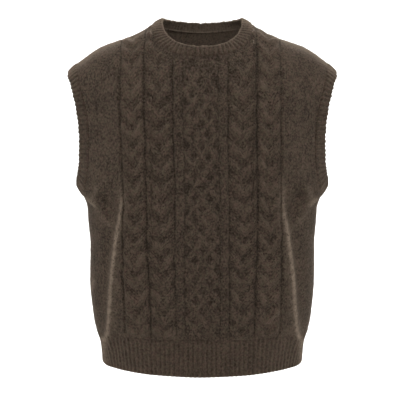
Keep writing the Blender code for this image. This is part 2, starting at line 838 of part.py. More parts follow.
def neck_seam(side, columns):
    """The sewn line of the neckband on one face, from -X to +X."""
    rows = []
    for places in columns:
        arc, rise = places[-1]
        x = at_arc(side, arc, rise)[0]
        if abs(x) < NECK_SEAM_HALF_WIDTH + 1e-4:
            rows.append(seam_row(side, arc, rise, abs(x) > NECK_SEAM_HALF_WIDTH - 1e-4))
    return np.array(rows)


def build_neckband(front, back):
    """The ribbed neckband, run from the left neck point over the front, then over the back."""
    quarter = math.pi / 2
    seams = [neck_seam("front", front), neck_seam("back", back)[::-1]]
    edges = [neck_edge("front", -quarter, quarter), neck_edge("back", quarter, -quarter)]
    band_object("neckband", seams, edges, NECK_RIBS_PER_SIDE)


def arm_edge(side, hand):
    """The free edge of an armhole on one face, from the underarm to the shoulder."""
    tip = top_rise(half_width(SHOULDER_LEVEL))
    share = np.linspace(0, 1, 161)
    rises = UNDERARM + (tip - UNDERARM) * (1 - np.cos(share * math.pi)) / 2
    rows = [sheet_point(side, math.pi / 2, rise) for rise in rises]
    rows[0][1] = 0.0
    rows[-1][1] = 0.0
    return np.array(rows) * (hand, 1.0, 1.0)


def arm_line(side, columns, hand):
    """The sewn line of an armband on one face, from the underarm to the shoulder."""
    places = columns[-1] if hand > 0 else columns[0]
    rows = []
    for j, (arc, rise) in enumerate(places):
        if rise > UNDERARM_SEAM - 1e-6:
            rows.append(seam_row(side, arc, rise, not rows or j == len(places) - 1))
    return np.array(rows)


def build_armband(name, front, back, hand):
    """A ribbed armband, from the underarm up the front and down the back."""
    seams = [arm_line("front", front, hand), arm_line("back", back, hand)[::-1]]
    edges = [arm_edge("front", hand), arm_edge("back", hand)[::-1]]
    band_object(name, seams, edges, ARM_RIBS_PER_SIDE)


def build_vest():
    """All the pieces, side by side at their seams."""
    cabled = front_columns()
    shares = (0.03, 0.12, 0.20, 0.32, 0.44, 0.56, 0.67, 0.78, 0.89, 1.0)
    plain = side_columns("front", cabled[-1], shares, SIDE_ROWS, CORNER_ROW)
    front = mirrored(cabled + plain)

    middle = back_columns()
    shares = [(i + 1) / BACK_COLUMNS for i in range(BACK_COLUMNS)]
    sides = side_columns("back", middle[-1], shares, BACK_ROWS, BACK_CORNER_ROW)
    back = mirrored(middle + sides)

    build_front(front)
    build_back(back)
    build_hem("hem_front", "front")
    build_hem("hem_back", "back")
    build_neckband(front, back)
    build_armband("armband_left", front, back, 1.0)
    build_armband("armband_right", front, back, -1.0)


for leftover in list(bpy.data.objects):
    bpy.data.objects.remove(leftover)
build_vest()
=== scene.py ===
# %% [markdown]
# # A cable-knit sweater vest
#
# This notebook dresses a hollow, plain set of solids as real knitting. A knitted vest has seven
# pieces: a cabled front, a plain back, two ribbed hems, a ribbed neckband and two ribbed armbands.
# In Blender each of them can be a flat grid of points that is laid on a curved sheet of cloth, as a
# maker lays a knitted panel on a body, and then raised into strands, ribs and stitches.
#
# The first cell loads the solids. They give the places and sizes that every piece keeps to.

import math

import bmesh
import bpy
import numpy as np
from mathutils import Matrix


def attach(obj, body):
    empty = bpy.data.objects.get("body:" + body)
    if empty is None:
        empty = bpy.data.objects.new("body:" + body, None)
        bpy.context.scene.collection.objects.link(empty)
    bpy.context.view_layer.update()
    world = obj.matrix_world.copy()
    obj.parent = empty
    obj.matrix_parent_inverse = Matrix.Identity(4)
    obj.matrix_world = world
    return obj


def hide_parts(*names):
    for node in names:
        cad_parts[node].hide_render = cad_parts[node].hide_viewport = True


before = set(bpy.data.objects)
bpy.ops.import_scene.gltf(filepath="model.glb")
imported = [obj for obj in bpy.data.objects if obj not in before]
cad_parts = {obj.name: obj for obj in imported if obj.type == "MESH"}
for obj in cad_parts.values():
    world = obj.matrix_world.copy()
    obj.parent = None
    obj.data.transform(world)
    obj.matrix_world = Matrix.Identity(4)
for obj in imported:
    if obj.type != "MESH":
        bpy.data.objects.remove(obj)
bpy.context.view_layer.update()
print("solids:", sorted(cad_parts))

# %% [markdown]
# ## Camera
#
# A vest is usually pictured from neck height and a couple of metres away, with a long lens, so that
# one looks a little down into the neck and a little under the curve of the hem. The camera could be
# turned by hand. Here it is aimed by one angle, which keeps the sides of the vest upright.

# %% Camera
# metres away, degrees it looks down, millimetres of lens and film, share of the picture's width
CAMERA_AWAY = 2.2
CAMERA_DOWN = 8.665
LENS = 107.5
FILM_WIDTH = 36.0
CAMERA_SHIFT = -0.0056

camera = bpy.data.objects.new("camera", bpy.data.cameras.new("camera"))
bpy.context.scene.collection.objects.link(camera)
camera.location = (0.0, -CAMERA_AWAY, 0.0)
camera.rotation_euler = (math.radians(90 - CAMERA_DOWN), 0.0, 0.0)
camera.data.sensor_width = FILM_WIDTH
camera.data.lens = LENS
camera.data.shift_x = CAMERA_SHIFT
camera.data.clip_end = 60.0
bpy.context.scene.camera = camera
print("camera", tuple(round(c, 3) for c in camera.location))

# %% [markdown]
# ## Floor
#
# A pale studio sweep is a floor that curves up into a wall, so that no horizon shows. It could be
# bent along one line. Here it curves up all round, like a very wide shallow bowl, so that it serves
# from every side: a grid whose points are lifted far from the middle.

# %% Floor
FLOOR_LEVEL = -1.05
FLOOR_SIZE = 15.0
FLOOR_FLAT = 3.4
FLOOR_CURVE = 0.4
PAPER = (0.93, 0.93, 0.92)
PAPER_GLOW = 0.08


def plain_material(name, colour, glow):
    """A matt material that also glows a little, as a lit paper sweep does."""
    material = bpy.data.materials.new(name)
    material.use_nodes = True
    shader = material.node_tree.nodes["Principled BSDF"]
    shader.inputs["Base Color"].default_value = (*colour, 1.0)
    shader.inputs["Roughness"].default_value = 0.9
    shader.inputs["Emission Color"].default_value = (*colour, 1.0)
    shader.inputs["Emission Strength"].default_value = glow
    return material


def add_sweep():
    """A pale floor that turns up all round the vest."""
    bm = bmesh.new()
    bmesh.ops.create_grid(bm, x_segments=80, y_segments=80, size=FLOOR_SIZE / 2)
    for v in bm.verts:
        far = max(math.hypot(v.co.x, v.co.y) - FLOOR_FLAT, 0.0)
        v.co.z = FLOOR_LEVEL + FLOOR_CURVE * far**2
    mesh = bpy.data.meshes.new("sweep")
    bm.to_mesh(mesh)
    bm.free()
    mesh.shade_smooth()
    mesh.materials.append(plain_material("paper", PAPER, PAPER_GLOW))
    sweep = bpy.data.objects.new("sweep", mesh)
    bpy.context.scene.collection.objects.link(sweep)
    return sweep


sweep = add_sweep()
print("sweep:", tuple(round(side, 2) for side in sweep.dimensions))

# %% [markdown]
# ## Light
#
# Knitting looks soft in soft light, and its relief shows when that light comes from one side more
# than from the others. A wide lamp overhead lights the shoulders and the rims, a narrower one in
# front fills the knitting, and a tall one on each side grazes the folds. One more lights the vest's
# back. The strongest shines down on the sweep behind, so that the paper is bright and the wool is
# not. A weak light from all round keeps the hollows from going black.

# %% Light
VEST_MIDDLE = (0.0, 0.0, -0.3)
ROOM_LIGHT = 0.16
# name, place, width and height, watts, where it is aimed, degrees of its spread
LAMPS = (
    ("lamp_top", (0.0, -0.5, 2.2), (1.8, 0.9), 29.0, VEST_MIDDLE, 180.0),
    ("lamp_front", (0.0, -2.3, 1.6), (1.2, 0.6), 7.4, (0.0, 0.0, -0.25), 70.0),
    ("lamp_left", (2.2, 0.5, -0.2), (0.4, 1.6), 10.0, VEST_MIDDLE, 180.0),
    ("lamp_right", (-2.2, 0.5, -0.2), (0.4, 1.6), 10.0, VEST_MIDDLE, 180.0),
    ("lamp_rear", (0.0, 2.4, 1.1), (1.6, 1.0), 24.0, VEST_MIDDLE, 180.0),
    ("lamp_back", (0.0, 3.4, 2.6), (3.2, 2.4), 215.0, (0.0, 3.2, -1.0), 180.0),
)


def add_lamp(name, place, size, power, aim, spread):
    """A wide soft light, turned so that it shines at a place."""
    lamp = bpy.data.objects.new(name, bpy.data.lights.new(name, "AREA"))
    lamp.data.shape = "RECTANGLE"
    lamp.data.size, lamp.data.size_y = size
    lamp.data.energy = power
    lamp.data.spread = math.radians(spread)
    lamp.location = place
    bpy.context.scene.collection.objects.link(lamp)
    away = np.subtract(place, aim)
    lamp.rotation_euler = (
        math.atan2(math.hypot(away[0], away[1]), away[2]),
        0.0,
        math.atan2(away[0], -away[1]),
    )


for lamp in LAMPS:
    add_lamp(*lamp)
world = bpy.data.worlds.new("room")
world.use_nodes = True
all_round = world.node_tree.nodes["Background"]
all_round.inputs["Color"].default_value = (1.0, 1.0, 1.0, 1.0)
all_round.inputs["Strength"].default_value = ROOM_LIGHT
bpy.context.scene.world = world
bpy.context.scene.view_settings.view_transform = "Standard"

# %% [markdown]
# ## The shape of the filled vest
#
# Worn knitwear hangs from the shoulders and fills out round the chest. It could be draped over a
# body, but its form is plain enough to write down in short tables. Each gives a measure at a few
# places, in metres: the half width of the outline, how deep and how square the section is, the line
# of the shoulders and where the armbands are sewn on. Such tables are easy to read and to change,
# and the solids have the same ones, so that the knitting fits them.

# %% Measures
HEM_BOTTOM = -0.643
HEM_TOP = -0.573
UNDERARM = -0.307
UNDERARM_SEAM = -0.330
SHOULDER_LEVEL = -0.098
SHOULDER_DEPTH = 0.095
ARMHOLE_HALF_GAP = 0.054
ARMHOLE_WIDEST = -0.203
ARMHOLE_ROUNDNESS = 2.3
# which way along Y each face looks
FACING = {"front": -1.0, "back": 1.0}

# height, half width
OUTLINE = np.array(
    [
        (-0.643, 0.1884), (-0.625, 0.1901), (-0.605, 0.1918), (-0.586, 0.1960), (-0.566, 0.2014),
        (-0.537, 0.2053), (-0.485, 0.2090), (-0.411, 0.2086), (-0.373, 0.2111), (-0.345, 0.2124),
        (-0.335, 0.2149), (-0.326, 0.2189), (-0.317, 0.2258), (-0.307, 0.2324), (-0.295, 0.2310),
        (-0.255, 0.2243), (-0.213, 0.2229), (-0.163, 0.2274), (-0.128, 0.2359), (-0.098, 0.2450),
    ]
)
# height, depth to the front, depth to the back, how square across, how square at the sides
SECTION = np.array(
    [
        (-0.643, 0.1150, 0.1040, 1.82, 2.00), (-0.611, 0.1145, 0.1040, 2.10, 2.25),
        (-0.573, 0.1140, 0.1045, 2.50, 2.60), (-0.506, 0.1160, 0.1055, 2.90, 2.95),
        (-0.454, 0.1170, 0.1062, 3.00, 3.00), (-0.402, 0.1175, 0.1070, 3.00, 3.00),
        (-0.350, 0.1172, 0.1090, 2.88, 2.75), (-0.330, 0.1168, 0.1098, 2.76, 2.60),
        (-0.307, 0.1160, 0.1102, 2.62, 2.35), (-0.289, 0.1152, 0.1105, 2.52, 1.95),
        (-0.259, 0.1140, 0.1105, 2.44, 1.48), (-0.218, 0.1120, 0.1100, 2.40, 1.25),
        (-0.148, 0.1070, 0.1060, 2.40, 1.15), (-0.069, 0.0990, 0.0950, 2.40, 1.15),
        (0.039, 0.0920, 0.0860, 2.40, 1.15),
    ]
)
# distance across, height of the shoulder line, how far down it rolls over
SHOULDER = np.array(
    [
        (0.0000, 0.0293, 0.150), (0.0296, 0.0254, 0.150), (0.0593, 0.0117, 0.150),
        (0.0910, -0.0115, 0.148), (0.1059, -0.0217, 0.140), (0.1288, -0.0328, 0.127),
        (0.1586, -0.0426, 0.110), (0.1835, -0.0512, 0.096), (0.2015, -0.0616, 0.086),
        (0.2166, -0.0732, 0.079), (0.2317, -0.0847, 0.074), (0.2450, -0.0962, 0.070),
    ]
)
# height, distance across of the armband's seam
ARM_SEAM = np.array(
    [
        (-0.330, 0.2197), (-0.322, 0.2163), (-0.311, 0.2126), (-0.299, 0.2091), (-0.279, 0.2054),
        (-0.255, 0.2030), (-0.223, 0.2018), (-0.193, 0.2032), (-0.163, 0.2071), (-0.133, 0.2140),
        (-0.103, 0.2215), (-0.081, 0.2274),
    ]
)
# height, how far the knitting is spread sideways
SPREAD = np.array(
    [(-0.573, 0.994), (-0.423, 1.019), (-0.330, 1.000), (-0.098, 1.014), (0.039, 1.015)]
)
print("rows of the outline and the section:", len(OUTLINE), len(SECTION))

# %% [markdown]
# A smooth curve runs through each table. Blender's own curves could do this, but a few lines of
# arithmetic are enough: a cubic between each pair of rows, with its slope at a row taken from both
# its neighbours, so that the curve rises and falls only where the table does.

# %% A smooth curve through a table
def curve(table, column):
    """A smooth curve through one column of a table, that rises and falls only where it does."""
    places, values = table[:, 0], table[:, column]
    step = np.diff(places)
    slope = np.diff(values) / step
    product = slope[:-1] * slope[1:]
    total = np.where(product > 0, slope[:-1] + slope[1:], 1.0)
    inner = np.where(product > 0, 2 * product / total, 0.0)
    tangent = np.concatenate([slope[:1], inner, slope[-1:]])

    def value(place):
        place = np.clip(place, places[0], places[-1])
        i = np.clip(np.searchsorted(places, place, side="right") - 1, 0, len(step) - 1)
        t = (place - places[i]) / step[i]
        ends = values[i] * (1 + 2 * t) * (1 - t) ** 2 + values[i + 1] * t * t * (3 - 2 * t)
        return ends + step[i] * (tangent[i] * t * (1 - t) ** 2 - tangent[i + 1] * t * t * (1 - t))

    return value


half_width = curve(OUTLINE, 1)
body_depth = {"front": curve(SECTION, 1), "back": curve(SECTION, 2)}
flatness = curve(SECTION, 3)
turn = curve(SECTION, 4)
ridge = curve(SHOULDER, 1)
roll = curve(SHOULDER, 2)
arm_seam = curve(ARM_SEAM, 1)
spread = curve(SPREAD, 1)
for word, level in (("hem", HEM_BOTTOM), ("shoulders", SHOULDER_LEVEL)):
    print("width at the", word, round(2 * float(half_width(level)), 4))

# %% [markdown]
# A place on the cloth has two numbers, as a knitter counts them: how far round the body it is from
# the middle of the front or back, and its rise, the length up the cloth. Over the shoulder the
# cloth rolls back to the shoulder line, so its rise goes on growing there while its height hardly
# does. A section of the body is a squarish ellipse, and a place on it is found by its angle. The
# next cell turns an angle and a rise into a point of the room.

# %% From an angle and a rise to a point
ARMHOLE_SOFT_REACH = 0.024
ARMHOLE_SOFT_COSINE = 0.35
SHOULDER_PLAN_ROUNDNESS = 2.4


def eased(value):
    """From 0 to 1, slow at both ends."""
    value = np.clip(value, 0, 1)
    return value * value * (3 - 2 * value)


def armhole_gap(z):
    """Half the distance from front to back across the armhole, 0 below the underarm."""
    down = np.clip((ARMHOLE_WIDEST - z) / (ARMHOLE_WIDEST - UNDERARM), 0, 1)
    return ARMHOLE_HALF_GAP * (1 - down**ARMHOLE_ROUNDNESS) ** (1 / ARMHOLE_ROUNDNESS)


def depth_at(side, z, cosine, square):
    """How deep the section is. Away from the armhole's edge its opening is felt more softly."""
    edge = armhole_gap(z)
    steps = np.linspace(-ARMHOLE_SOFT_REACH, ARMHOLE_SOFT_REACH, 7)
    soft = sum(armhole_gap(z + step) for step in steps) / len(steps)
    gap = edge + (soft - edge) * eased(cosine / ARMHOLE_SOFT_COSINE)
    return gap + (body_depth[side](z) - gap) * cosine ** (2 / square)


def sweep_length(x):
    """The length of cloth in the roll of the shoulder."""
    reach = np.clip(x / half_width(SHOULDER_LEVEL), 0, 1)
    narrower = (SHOULDER_DEPTH - ARMHOLE_HALF_GAP) * (1 - reach**SHOULDER_PLAN_ROUNDNESS)
    lean = ARMHOLE_HALF_GAP + narrower
    return math.pi / 2 * np.sqrt((roll(x) ** 2 + lean**2) / 2)


def top_rise(x):
    """The rise at the shoulder line."""
    return ridge(x) - roll(x) + sweep_length(x)


def rise_at(x, z):
    """The rise of the cloth at a height."""
    start = ridge(x) - roll(x)
    up = np.clip((z - start) / roll(x), 0, 1)
    return np.where(z <= start, z, start + sweep_length(x) * np.arcsin(up) * 2 / math.pi)


def point_at(side, angle, rise):
    """The point of the sheet at an angle round the section, 0 in the middle of the face."""
    level = np.minimum(rise, SHOULDER_LEVEL)
    x = half_width(level) * np.sin(angle) ** (2 / flatness(level))
    start = ridge(x) - roll(x)
    lean = np.clip((rise - start) / sweep_length(x), 0, 1) * math.pi / 2
    z = np.where(rise > start, start + roll(x) * np.sin(lean), rise)
    depth = depth_at(side, z, np.clip(np.cos(angle), 0, 1), turn(level))
    return np.stack([x, FACING[side] * depth * np.cos(lean), z], -1)


def angle_across(x, rise):
    """The angle of a place given by its distance across."""
    level = np.minimum(rise, SHOULDER_LEVEL)
    return np.arcsin(np.clip(x / half_width(level), 0, 1) ** (flatness(level) / 2))


for word, x in (("middle", 0.0), ("shoulder tip", half_width(SHOULDER_LEVEL))):
    print("rise of the shoulder line at the", word, round(float(top_rise(x)), 4))

# %% [markdown]
# A knitter measures round the body with a tape, not by angles. So each section is measured once:
# its length is added up in small steps, and tables give the angle for each share of that length,
# and the share for each angle. Looking a place up in a table is quick, which matters for hundreds
# of thousands of points.

# %% Lengths round the body
LEVELS = np.linspace(HEM_BOTTOM, SHOULDER_LEVEL, 110)
SHARES = np.linspace(0, 1, 1601)


def measured_sections(side):
    """For each level, the half girth, the angle at each share of it and the share at each angle."""
    angles = math.pi / 4 * (1 - np.cos(np.linspace(0, math.pi, 481)))
    even = SHARES * math.pi / 2
    girth, angle_of, share_of = [], [], []
    for level in LEVELS:
        x = half_width(level) * np.sin(angles) ** (2 / flatness(level))
        y = depth_at(side, level, np.clip(np.cos(angles), 0, 1), turn(level))
        length = np.concatenate([[0], np.cumsum(np.hypot(np.diff(x), np.diff(y)))])
        girth.append(length[-1])
        angle_of.append(np.interp(SHARES, length / length[-1], angles))
        share_of.append(np.interp(even, angles, length / length[-1]))
    return np.array(girth), np.array(angle_of), np.array(share_of)


SECTIONS = {side: measured_sections(side) for side in FACING}


def looked_up(table, row, column):
    """A table's value between its rows and columns."""
    i = np.clip(np.floor(row).astype(int), 0, table.shape[0] - 2)
    j = np.clip(np.floor(column).astype(int), 0, table.shape[1] - 2)
    a, b = row - i, column - j
    low = table[i, j] * (1 - b) + table[i, j + 1] * b
    high = table[i + 1, j] * (1 - b) + table[i + 1, j + 1] * b
    return low * (1 - a) + high * a


def level_of(rise):
    """Where a rise stands in the list of levels."""
    return (np.minimum(rise, SHOULDER_LEVEL) - LEVELS[0]) / (LEVELS[1] - LEVELS[0])


def half_girth(side, rise):
    """The length round from the middle of a face to its side."""
    return np.interp(level_of(rise), np.arange(len(LEVELS)), SECTIONS[side][0])


def angle_of_arc(side, arc, rise):
    """The angle at a length round from the middle."""
    share = np.clip(np.abs(arc) / half_girth(side, rise), 0, 1)
    return looked_up(SECTIONS[side][1], level_of(rise), share * (len(SHARES) - 1))


def arc_of_angle(side, angle, rise):
    """The length round from the middle to an angle."""
    share = looked_up(SECTIONS[side][2], level_of(rise), angle / (math.pi / 2) * (len(SHARES) - 1))
    return share * half_girth(side, rise)


def cloth_point(side, arc, rise):
    """The point of the sheet at a length round, +X positive, and a rise."""
    point = point_at(side, angle_of_arc(side, arc, rise), rise)
    point[..., 0] *= np.sign(arc) + (arc == 0)
    return point


print("half girth of the front at the chest:", round(float(half_girth("front", -0.25)), 4))

# %% [markdown]
# ## Edges of the panels
#
# A knitted panel isn't a rectangle. Its top follows the round neck and the sloping shoulder, and
# its side runs up the side seam, turns in at the underarm and follows the armhole. It could be cut
# out of a larger grid, but a cut edge is ragged where it crosses the squares. Here the whole grid
# is fitted between the edges: its columns run up the cloth, those in the middle upright, like the
# columns of stitches, and those at the side fanned out to meet the armhole.

# %% Edges of the panels
NECK_SEAM_HALF_WIDTH = 0.091
NECK_SEAM_DROP = {"front": 0.0668, "back": 0.0255}
NECK_POINT_DROP = 0.0115
NECK_ROUNDNESS = {"front": 2.4, "back": 1.5}
# the share of the rows below the underarm, and how much closer they lie just above it
CORNER_SHARE = 0.389
CORNER_CLOSENESS = 1.25


def neck_seam_height(side, x):
    """The height of the neckband's seam."""
    roundness = NECK_ROUNDNESS[side]
    inside = np.clip(1 - (np.abs(x) / NECK_SEAM_HALF_WIDTH) ** roundness, 0, 1)
    drop = NECK_SEAM_DROP[side] - NECK_POINT_DROP
    return -NECK_POINT_DROP - drop * inside ** (1 / roundness)


def top_of(side, x):
    """The rise where a panel ends, at the neckband's seam or the shoulder line."""
    under_neck = rise_at(x, neck_seam_height(side, x))
    return np.where(x < NECK_SEAM_HALF_WIDTH, under_neck, top_rise(x))


def edge_arc(side, rise):
    """The length round to the panel's edge: the side seam, and the armband's seam above it."""
    height = rise.copy()
    for _ in range(10):
        height = height + rise - rise_at(arm_seam(height), height)
    on_seam = arc_of_angle(side, angle_across(arm_seam(height), rise), rise)
    return np.where(rise <= UNDERARM_SEAM, half_girth(side, rise), on_seam)


def panel_places(side, wales, shares, rows):
    """The places (arc, rise) of a half panel's grid, rows by columns, from the middle out.

    wales are the columns that stand upright, and shares place the rest on the way to the edge.
    """
    wale = np.concatenate([wales, np.full(len(shares), wales[-1])])
    share = np.concatenate([np.zeros(len(wales)), shares])

    def arc_at(rise):
        return wale * spread(rise) * (1 - share) + edge_arc(side, rise) * share

    # where a column ends depends on how far across its end lies, so both are found step by step
    top = np.full(len(wale), -0.02)
    for _ in range(40):
        x = point_at(side, angle_of_arc(side, arc_at(top), top), top)[:, 0]
        top = (top + top_of(side, x)) / 2
    corner = round(rows * CORNER_SHARE)
    row = np.arange(rows + 1)
    below = HEM_TOP + (UNDERARM_SEAM - HEM_TOP) * row / corner
    on = np.clip((row - corner) / (rows - corner), 0, 1) ** CORNER_CLOSENESS
    edge = np.where(row <= corner, below, UNDERARM_SEAM + (top[-1] - UNDERARM_SEAM) * on)
    even, fanned = row / rows, (edge - HEM_TOP) / (top[-1] - HEM_TOP)
    part = even[:, None] * (1 - share) + fanned[:, None] * share
    rise = HEM_TOP + (top - HEM_TOP) * part
    arc = np.array([arc_at(level) for level in rise])
    return arc, rise


for side in FACING:
    seam_end = float(edge_arc(side, np.array([UNDERARM_SEAM]))[0])
    print(side, "from the middle to the end of the side seam:", round(seam_end, 4))

# %% [markdown]
# ## Folds
#
# A wide body that is drawn in by its hem falls in a long fold down each side of the front, and a
# softer one down each side of the back. The underarm pulls small creases into the cloth. A cloth
# simulation would put the folds where it likes, so they are listed one by one. A fold is a rounded
# crest with a hollow on both its sides, and a sum of three smooth bumps has that form. Slow waves
# keep the rest from being perfectly even.

# %% Folds
# height, place across on the front and the back, lift on the front and the back
FOLD = np.array(
    [
        (-0.643, 0.1794, 0.1717, 0.0006, 0.0004), (-0.574, 0.1744, 0.1688, 0.0028, 0.0016),
        (-0.528, 0.1698, 0.1652, 0.0036, 0.0022), (-0.462, 0.1641, 0.1583, 0.0040, 0.0026),
        (-0.417, 0.1588, 0.1527, 0.0038, 0.0026), (-0.372, 0.1522, 0.1461, 0.0032, 0.0020),
        (-0.335, 0.1458, 0.1407, 0.0020, 0.0012), (-0.305, 0.1414, 0.1364, 0.0000, 0.0000),
    ]
)
# the crest and the hollows beside it: how wide, how far off, and their share of the lift
CREST_WIDTH = 0.007225
CREST_SHARE = 1.25
CREST_SET_BACK = 0.0025
INNER_HOLLOW_WIDTH = 0.0085
INNER_HOLLOW_SHIFT = 0.019
INNER_HOLLOW_SHARE = 0.45
OUTER_HOLLOW_WIDTH = 0.0095
OUTER_HOLLOW_SHIFT = 0.0145
OUTER_HOLLOW_SHARE = {"front": 0.75, "back": 0.4}
# the swell over the whole cloth: as every unevenness below, how strong, how large, and its seed
SWELL = {"front": (0.0007, 0.11, 11), "back": (0.0007, 0.11, 23)}
# from and to, across and height, then lift, width, painted highlight (below 0 it takes some away),
# and 0 for both sides or -1 for one
CREASES = (
    ((0.171, -0.318), (0.165, -0.344), -0.0060, 0.0120, -0.35, 0),
    ((0.194, -0.295), (0.156, -0.261), 0.0020, 0.0180, 0.00, 0),
    ((0.203, -0.324), (0.192, -0.333), 0.0036, 0.0046, 0.60, 0),
    ((0.197, -0.324), (0.188, -0.302), 0.0020, 0.0055, 0.30, 0),
    ((0.188, -0.344), (0.166, -0.366), 0.0014, 0.0070, 0.15, 0),
    ((0.197, -0.474), (0.203, -0.494), 0.0012, 0.0030, 0.50, -1),
)
fold_place = {"front": curve(FOLD, 1), "back": curve(FOLD, 2)}
fold_lift = {"front": curve(FOLD, 3), "back": curve(FOLD, 4)}


def slow_waves(x, z, strength, size, seed):
    """An uneven, smooth swell up to about a strength, from waves of several directions."""
    chance = np.random.default_rng(seed)
    total = 0.0
    for _ in range(7):
        way = chance.uniform(0, math.pi)
        length = size * chance.uniform(0.7, 1.6)
        phase = chance.uniform(0, 2 * math.pi)
        along = x * math.cos(way) + z * math.sin(way)
        total = total + np.sin(2 * math.pi * along / length + phase)
    return strength * (total / 3.5)


def bump_at(away, width):
    """1 on a line or at a place, falling smoothly to nothing a few widths away from it."""
    return np.exp(-((away / width) ** 2))


def creases_at(points):
    """For each small crease its lift and painted highlight, and how near to it each point is, from
    0 to 1.
    """
    for start, end, height, width, light, one_side in CREASES:
        x = points[..., 0] * one_side if one_side else np.abs(points[..., 0])
        z = points[..., 2]
        run = np.subtract(end, start)
        along = np.clip(((x - start[0]) * run[0] + (z - start[1]) * run[1]) / (run @ run), 0, 1)
        off = np.hypot(x - start[0] - along * run[0], z - start[1] - along * run[1])
        yield height, light, bump_at(off, width)


def fold_height(side, points):
    """How far the folds and creases lift the cloth at each point."""
    x, z = np.abs(points[..., 0]), points[..., 2]
    away = x - fold_place[side](z) + CREST_SET_BACK
    crest = CREST_SHARE * bump_at(away, CREST_WIDTH)
    inner = INNER_HOLLOW_SHARE * bump_at(away + INNER_HOLLOW_SHIFT, INNER_HOLLOW_WIDTH)
    outer = bump_at(away - OUTER_HOLLOW_SHIFT, OUTER_HOLLOW_WIDTH)
    total = fold_lift[side](z) * (crest - inner - OUTER_HOLLOW_SHARE[side] * outer)
    for height, light, near in creases_at(points):
        total = total + height * near
    return total + slow_waves(points[..., 0], z, *SWELL[side])


print("creases:", len(CREASES), "and the highest lift of the folds:", FOLD[:, 3].max())

# %% [markdown]
# ## Painted highlights
#
# Rubbed wool has a fine nap that catches the light: on the crests of the folds, along the shoulders
# and on the free edges of the bands. Single hairs would take millions of strands, so that light is
# painted: a number on each point of the cloth, from 0 to 1, which the material turns into a painted
# highlight of pale fibres. It is drawn along the same lines as the folds, and wanders a little from
# them.

# %% Painted highlights
# how strong the painted highlight on the fold crests is, on the front and the back, how wide, and
# the fold's lift that gives it in full
CREST_LIGHT = {"front": 1.0, "back": 0.35}
CREST_LIGHT_WIDTH = 0.0037
FULL_LIGHT_LIFT = 0.0036
# a broader, weaker painted highlight on the crest's side towards the middle
INWARD_LIGHT = 0.24
INWARD_SHIFT = 0.004
INWARD_WIDTH = 0.0085
# how far from the side seam the back gets the front's painted highlight, and how strong it is there
SIDE_REACH = 0.035
SIDE_LIGHT = 0.6
# in the hem the crest's painted highlight runs out towards the corner and grows wider
HEM_LIGHT = 0.75
HEM_LIGHT_SHIFT = 0.013
# where the fold begins under the arm: across and height, then how wide and how long, and its
# painted highlight
FOLD_START = (0.1425, -0.315)
FOLD_START_SIZE = (0.006, 0.035)
FOLD_START_LIGHT = 0.35
# painted highlight along the shoulder line: how strong, and how far it reaches
SHOULDER_LIGHT = 0.50
SHOULDER_LIGHT_REACH = 0.011
# how the crest's painted highlight wanders sideways, and how it comes and goes
LIGHT_WANDERS = (0.0008, 0.012, 71)
LIGHT_UNEVEN = (0.3, 0.016, 73)


def shoulder_light(x, z):
    """How much painted highlight the shoulder line gets, from 0 to 1."""
    return SHOULDER_LIGHT * bump_at(ridge(x) - z, SHOULDER_LIGHT_REACH)


def painted_highlight_of(side, points):
    """How much painted highlight the cloth gets, from 0 to 1: on creases, crests and shoulders."""
    x, z = np.abs(points[..., 0]), points[..., 2]
    in_hem = eased((HEM_TOP + 0.012 - z) / 0.045)
    near_seam = bump_at(points[..., 1], SIDE_REACH)
    place = fold_place[side](z) * (1 - near_seam) + fold_place["front"](z) * near_seam
    wander = slow_waves(points[..., 0], z, *LIGHT_WANDERS)
    away = x - place + CREST_SET_BACK - HEM_LIGHT_SHIFT * in_hem + wander
    amount = np.clip(np.maximum(fold_lift[side](z) / FULL_LIGHT_LIFT, HEM_LIGHT * in_hem), 0, 1)
    crest = bump_at(away, CREST_LIGHT_WIDTH * (1 + 1.4 * in_hem))
    inward = INWARD_LIGHT * bump_at(away + INWARD_SHIFT, INWARD_WIDTH)
    uneven = 1 + slow_waves(points[..., 0], z, *LIGHT_UNEVEN)
    crest = amount * np.maximum(crest, inward) * uneven
    start = bump_at(x - FOLD_START[0], FOLD_START_SIZE[0])
    start = FOLD_START_LIGHT * start * bump_at(z - FOLD_START[1], FOLD_START_SIZE[1])
    shoulder = shoulder_light(x, z) * eased((x - 0.06) / 0.06)
    amount = CREST_LIGHT[side] * (1 - near_seam) + SIDE_LIGHT * near_seam
    total = amount * (crest + start) + shoulder
    for height, light, near in creases_at(points):
        total = total + amount * light * near
    return total


# the painted highlight along the shoulder line
print("loose fibre on the shoulder line:", float(shoulder_light(0.15, ridge(0.15))))


# %% [markdown]
# ## Strands, cables and ribs
#
# Cable knitting crosses groups of stitches over each other, so that they look like ropes laid on
# the cloth. This front has slanting strands that cross in diamonds down the middle, and on each
# side, past a narrow plain column, two cables whose strands part from the middle and climb to both
# edges, like a stack of horseshoes. The ropes could be separate curves, but knitted ones are one
# with their cloth, so they are heights on its grid. Which strand a place belongs to, and how far
# across it lies, comes from one slanting number, the phase, that grows by 1 from strand to strand.

# %% Strands and cables
# where each band of the pattern ends, across from the middle
LATTICE_EDGE = 0.0310
COLUMN_EDGE = 0.0475
INNER_CABLE_EDGE = 0.0985
OUTER_CABLE_EDGE = 0.1415
# how far apart the strands are across and up
LATTICE_WIDTH = 0.0264
LATTICE_REPEAT = 0.0369
CABLE_REPEAT = 0.0332
# how far a horseshoe climbs from its middle to its edge, and how bowed it is
CABLE_RISE = 0.0255
CABLE_BOW = 1.06
# how far the pattern leans at the top and at the bottom, and how far the cables come inwards low
# down, each with the rise where it begins and the height that it takes
TOP_LEAN = (0.0030, 0.25, 0.16)
LOW_LEAN = (0.0009, 0.12, 0.06)
CABLES_INWARD = (0.0050, 0.09, 0.14)
# how places wander across and up
WANDERS_ACROSS = (0.0010, 0.034, 31)
WANDERS_UP = (0.0017, 0.046, 37)


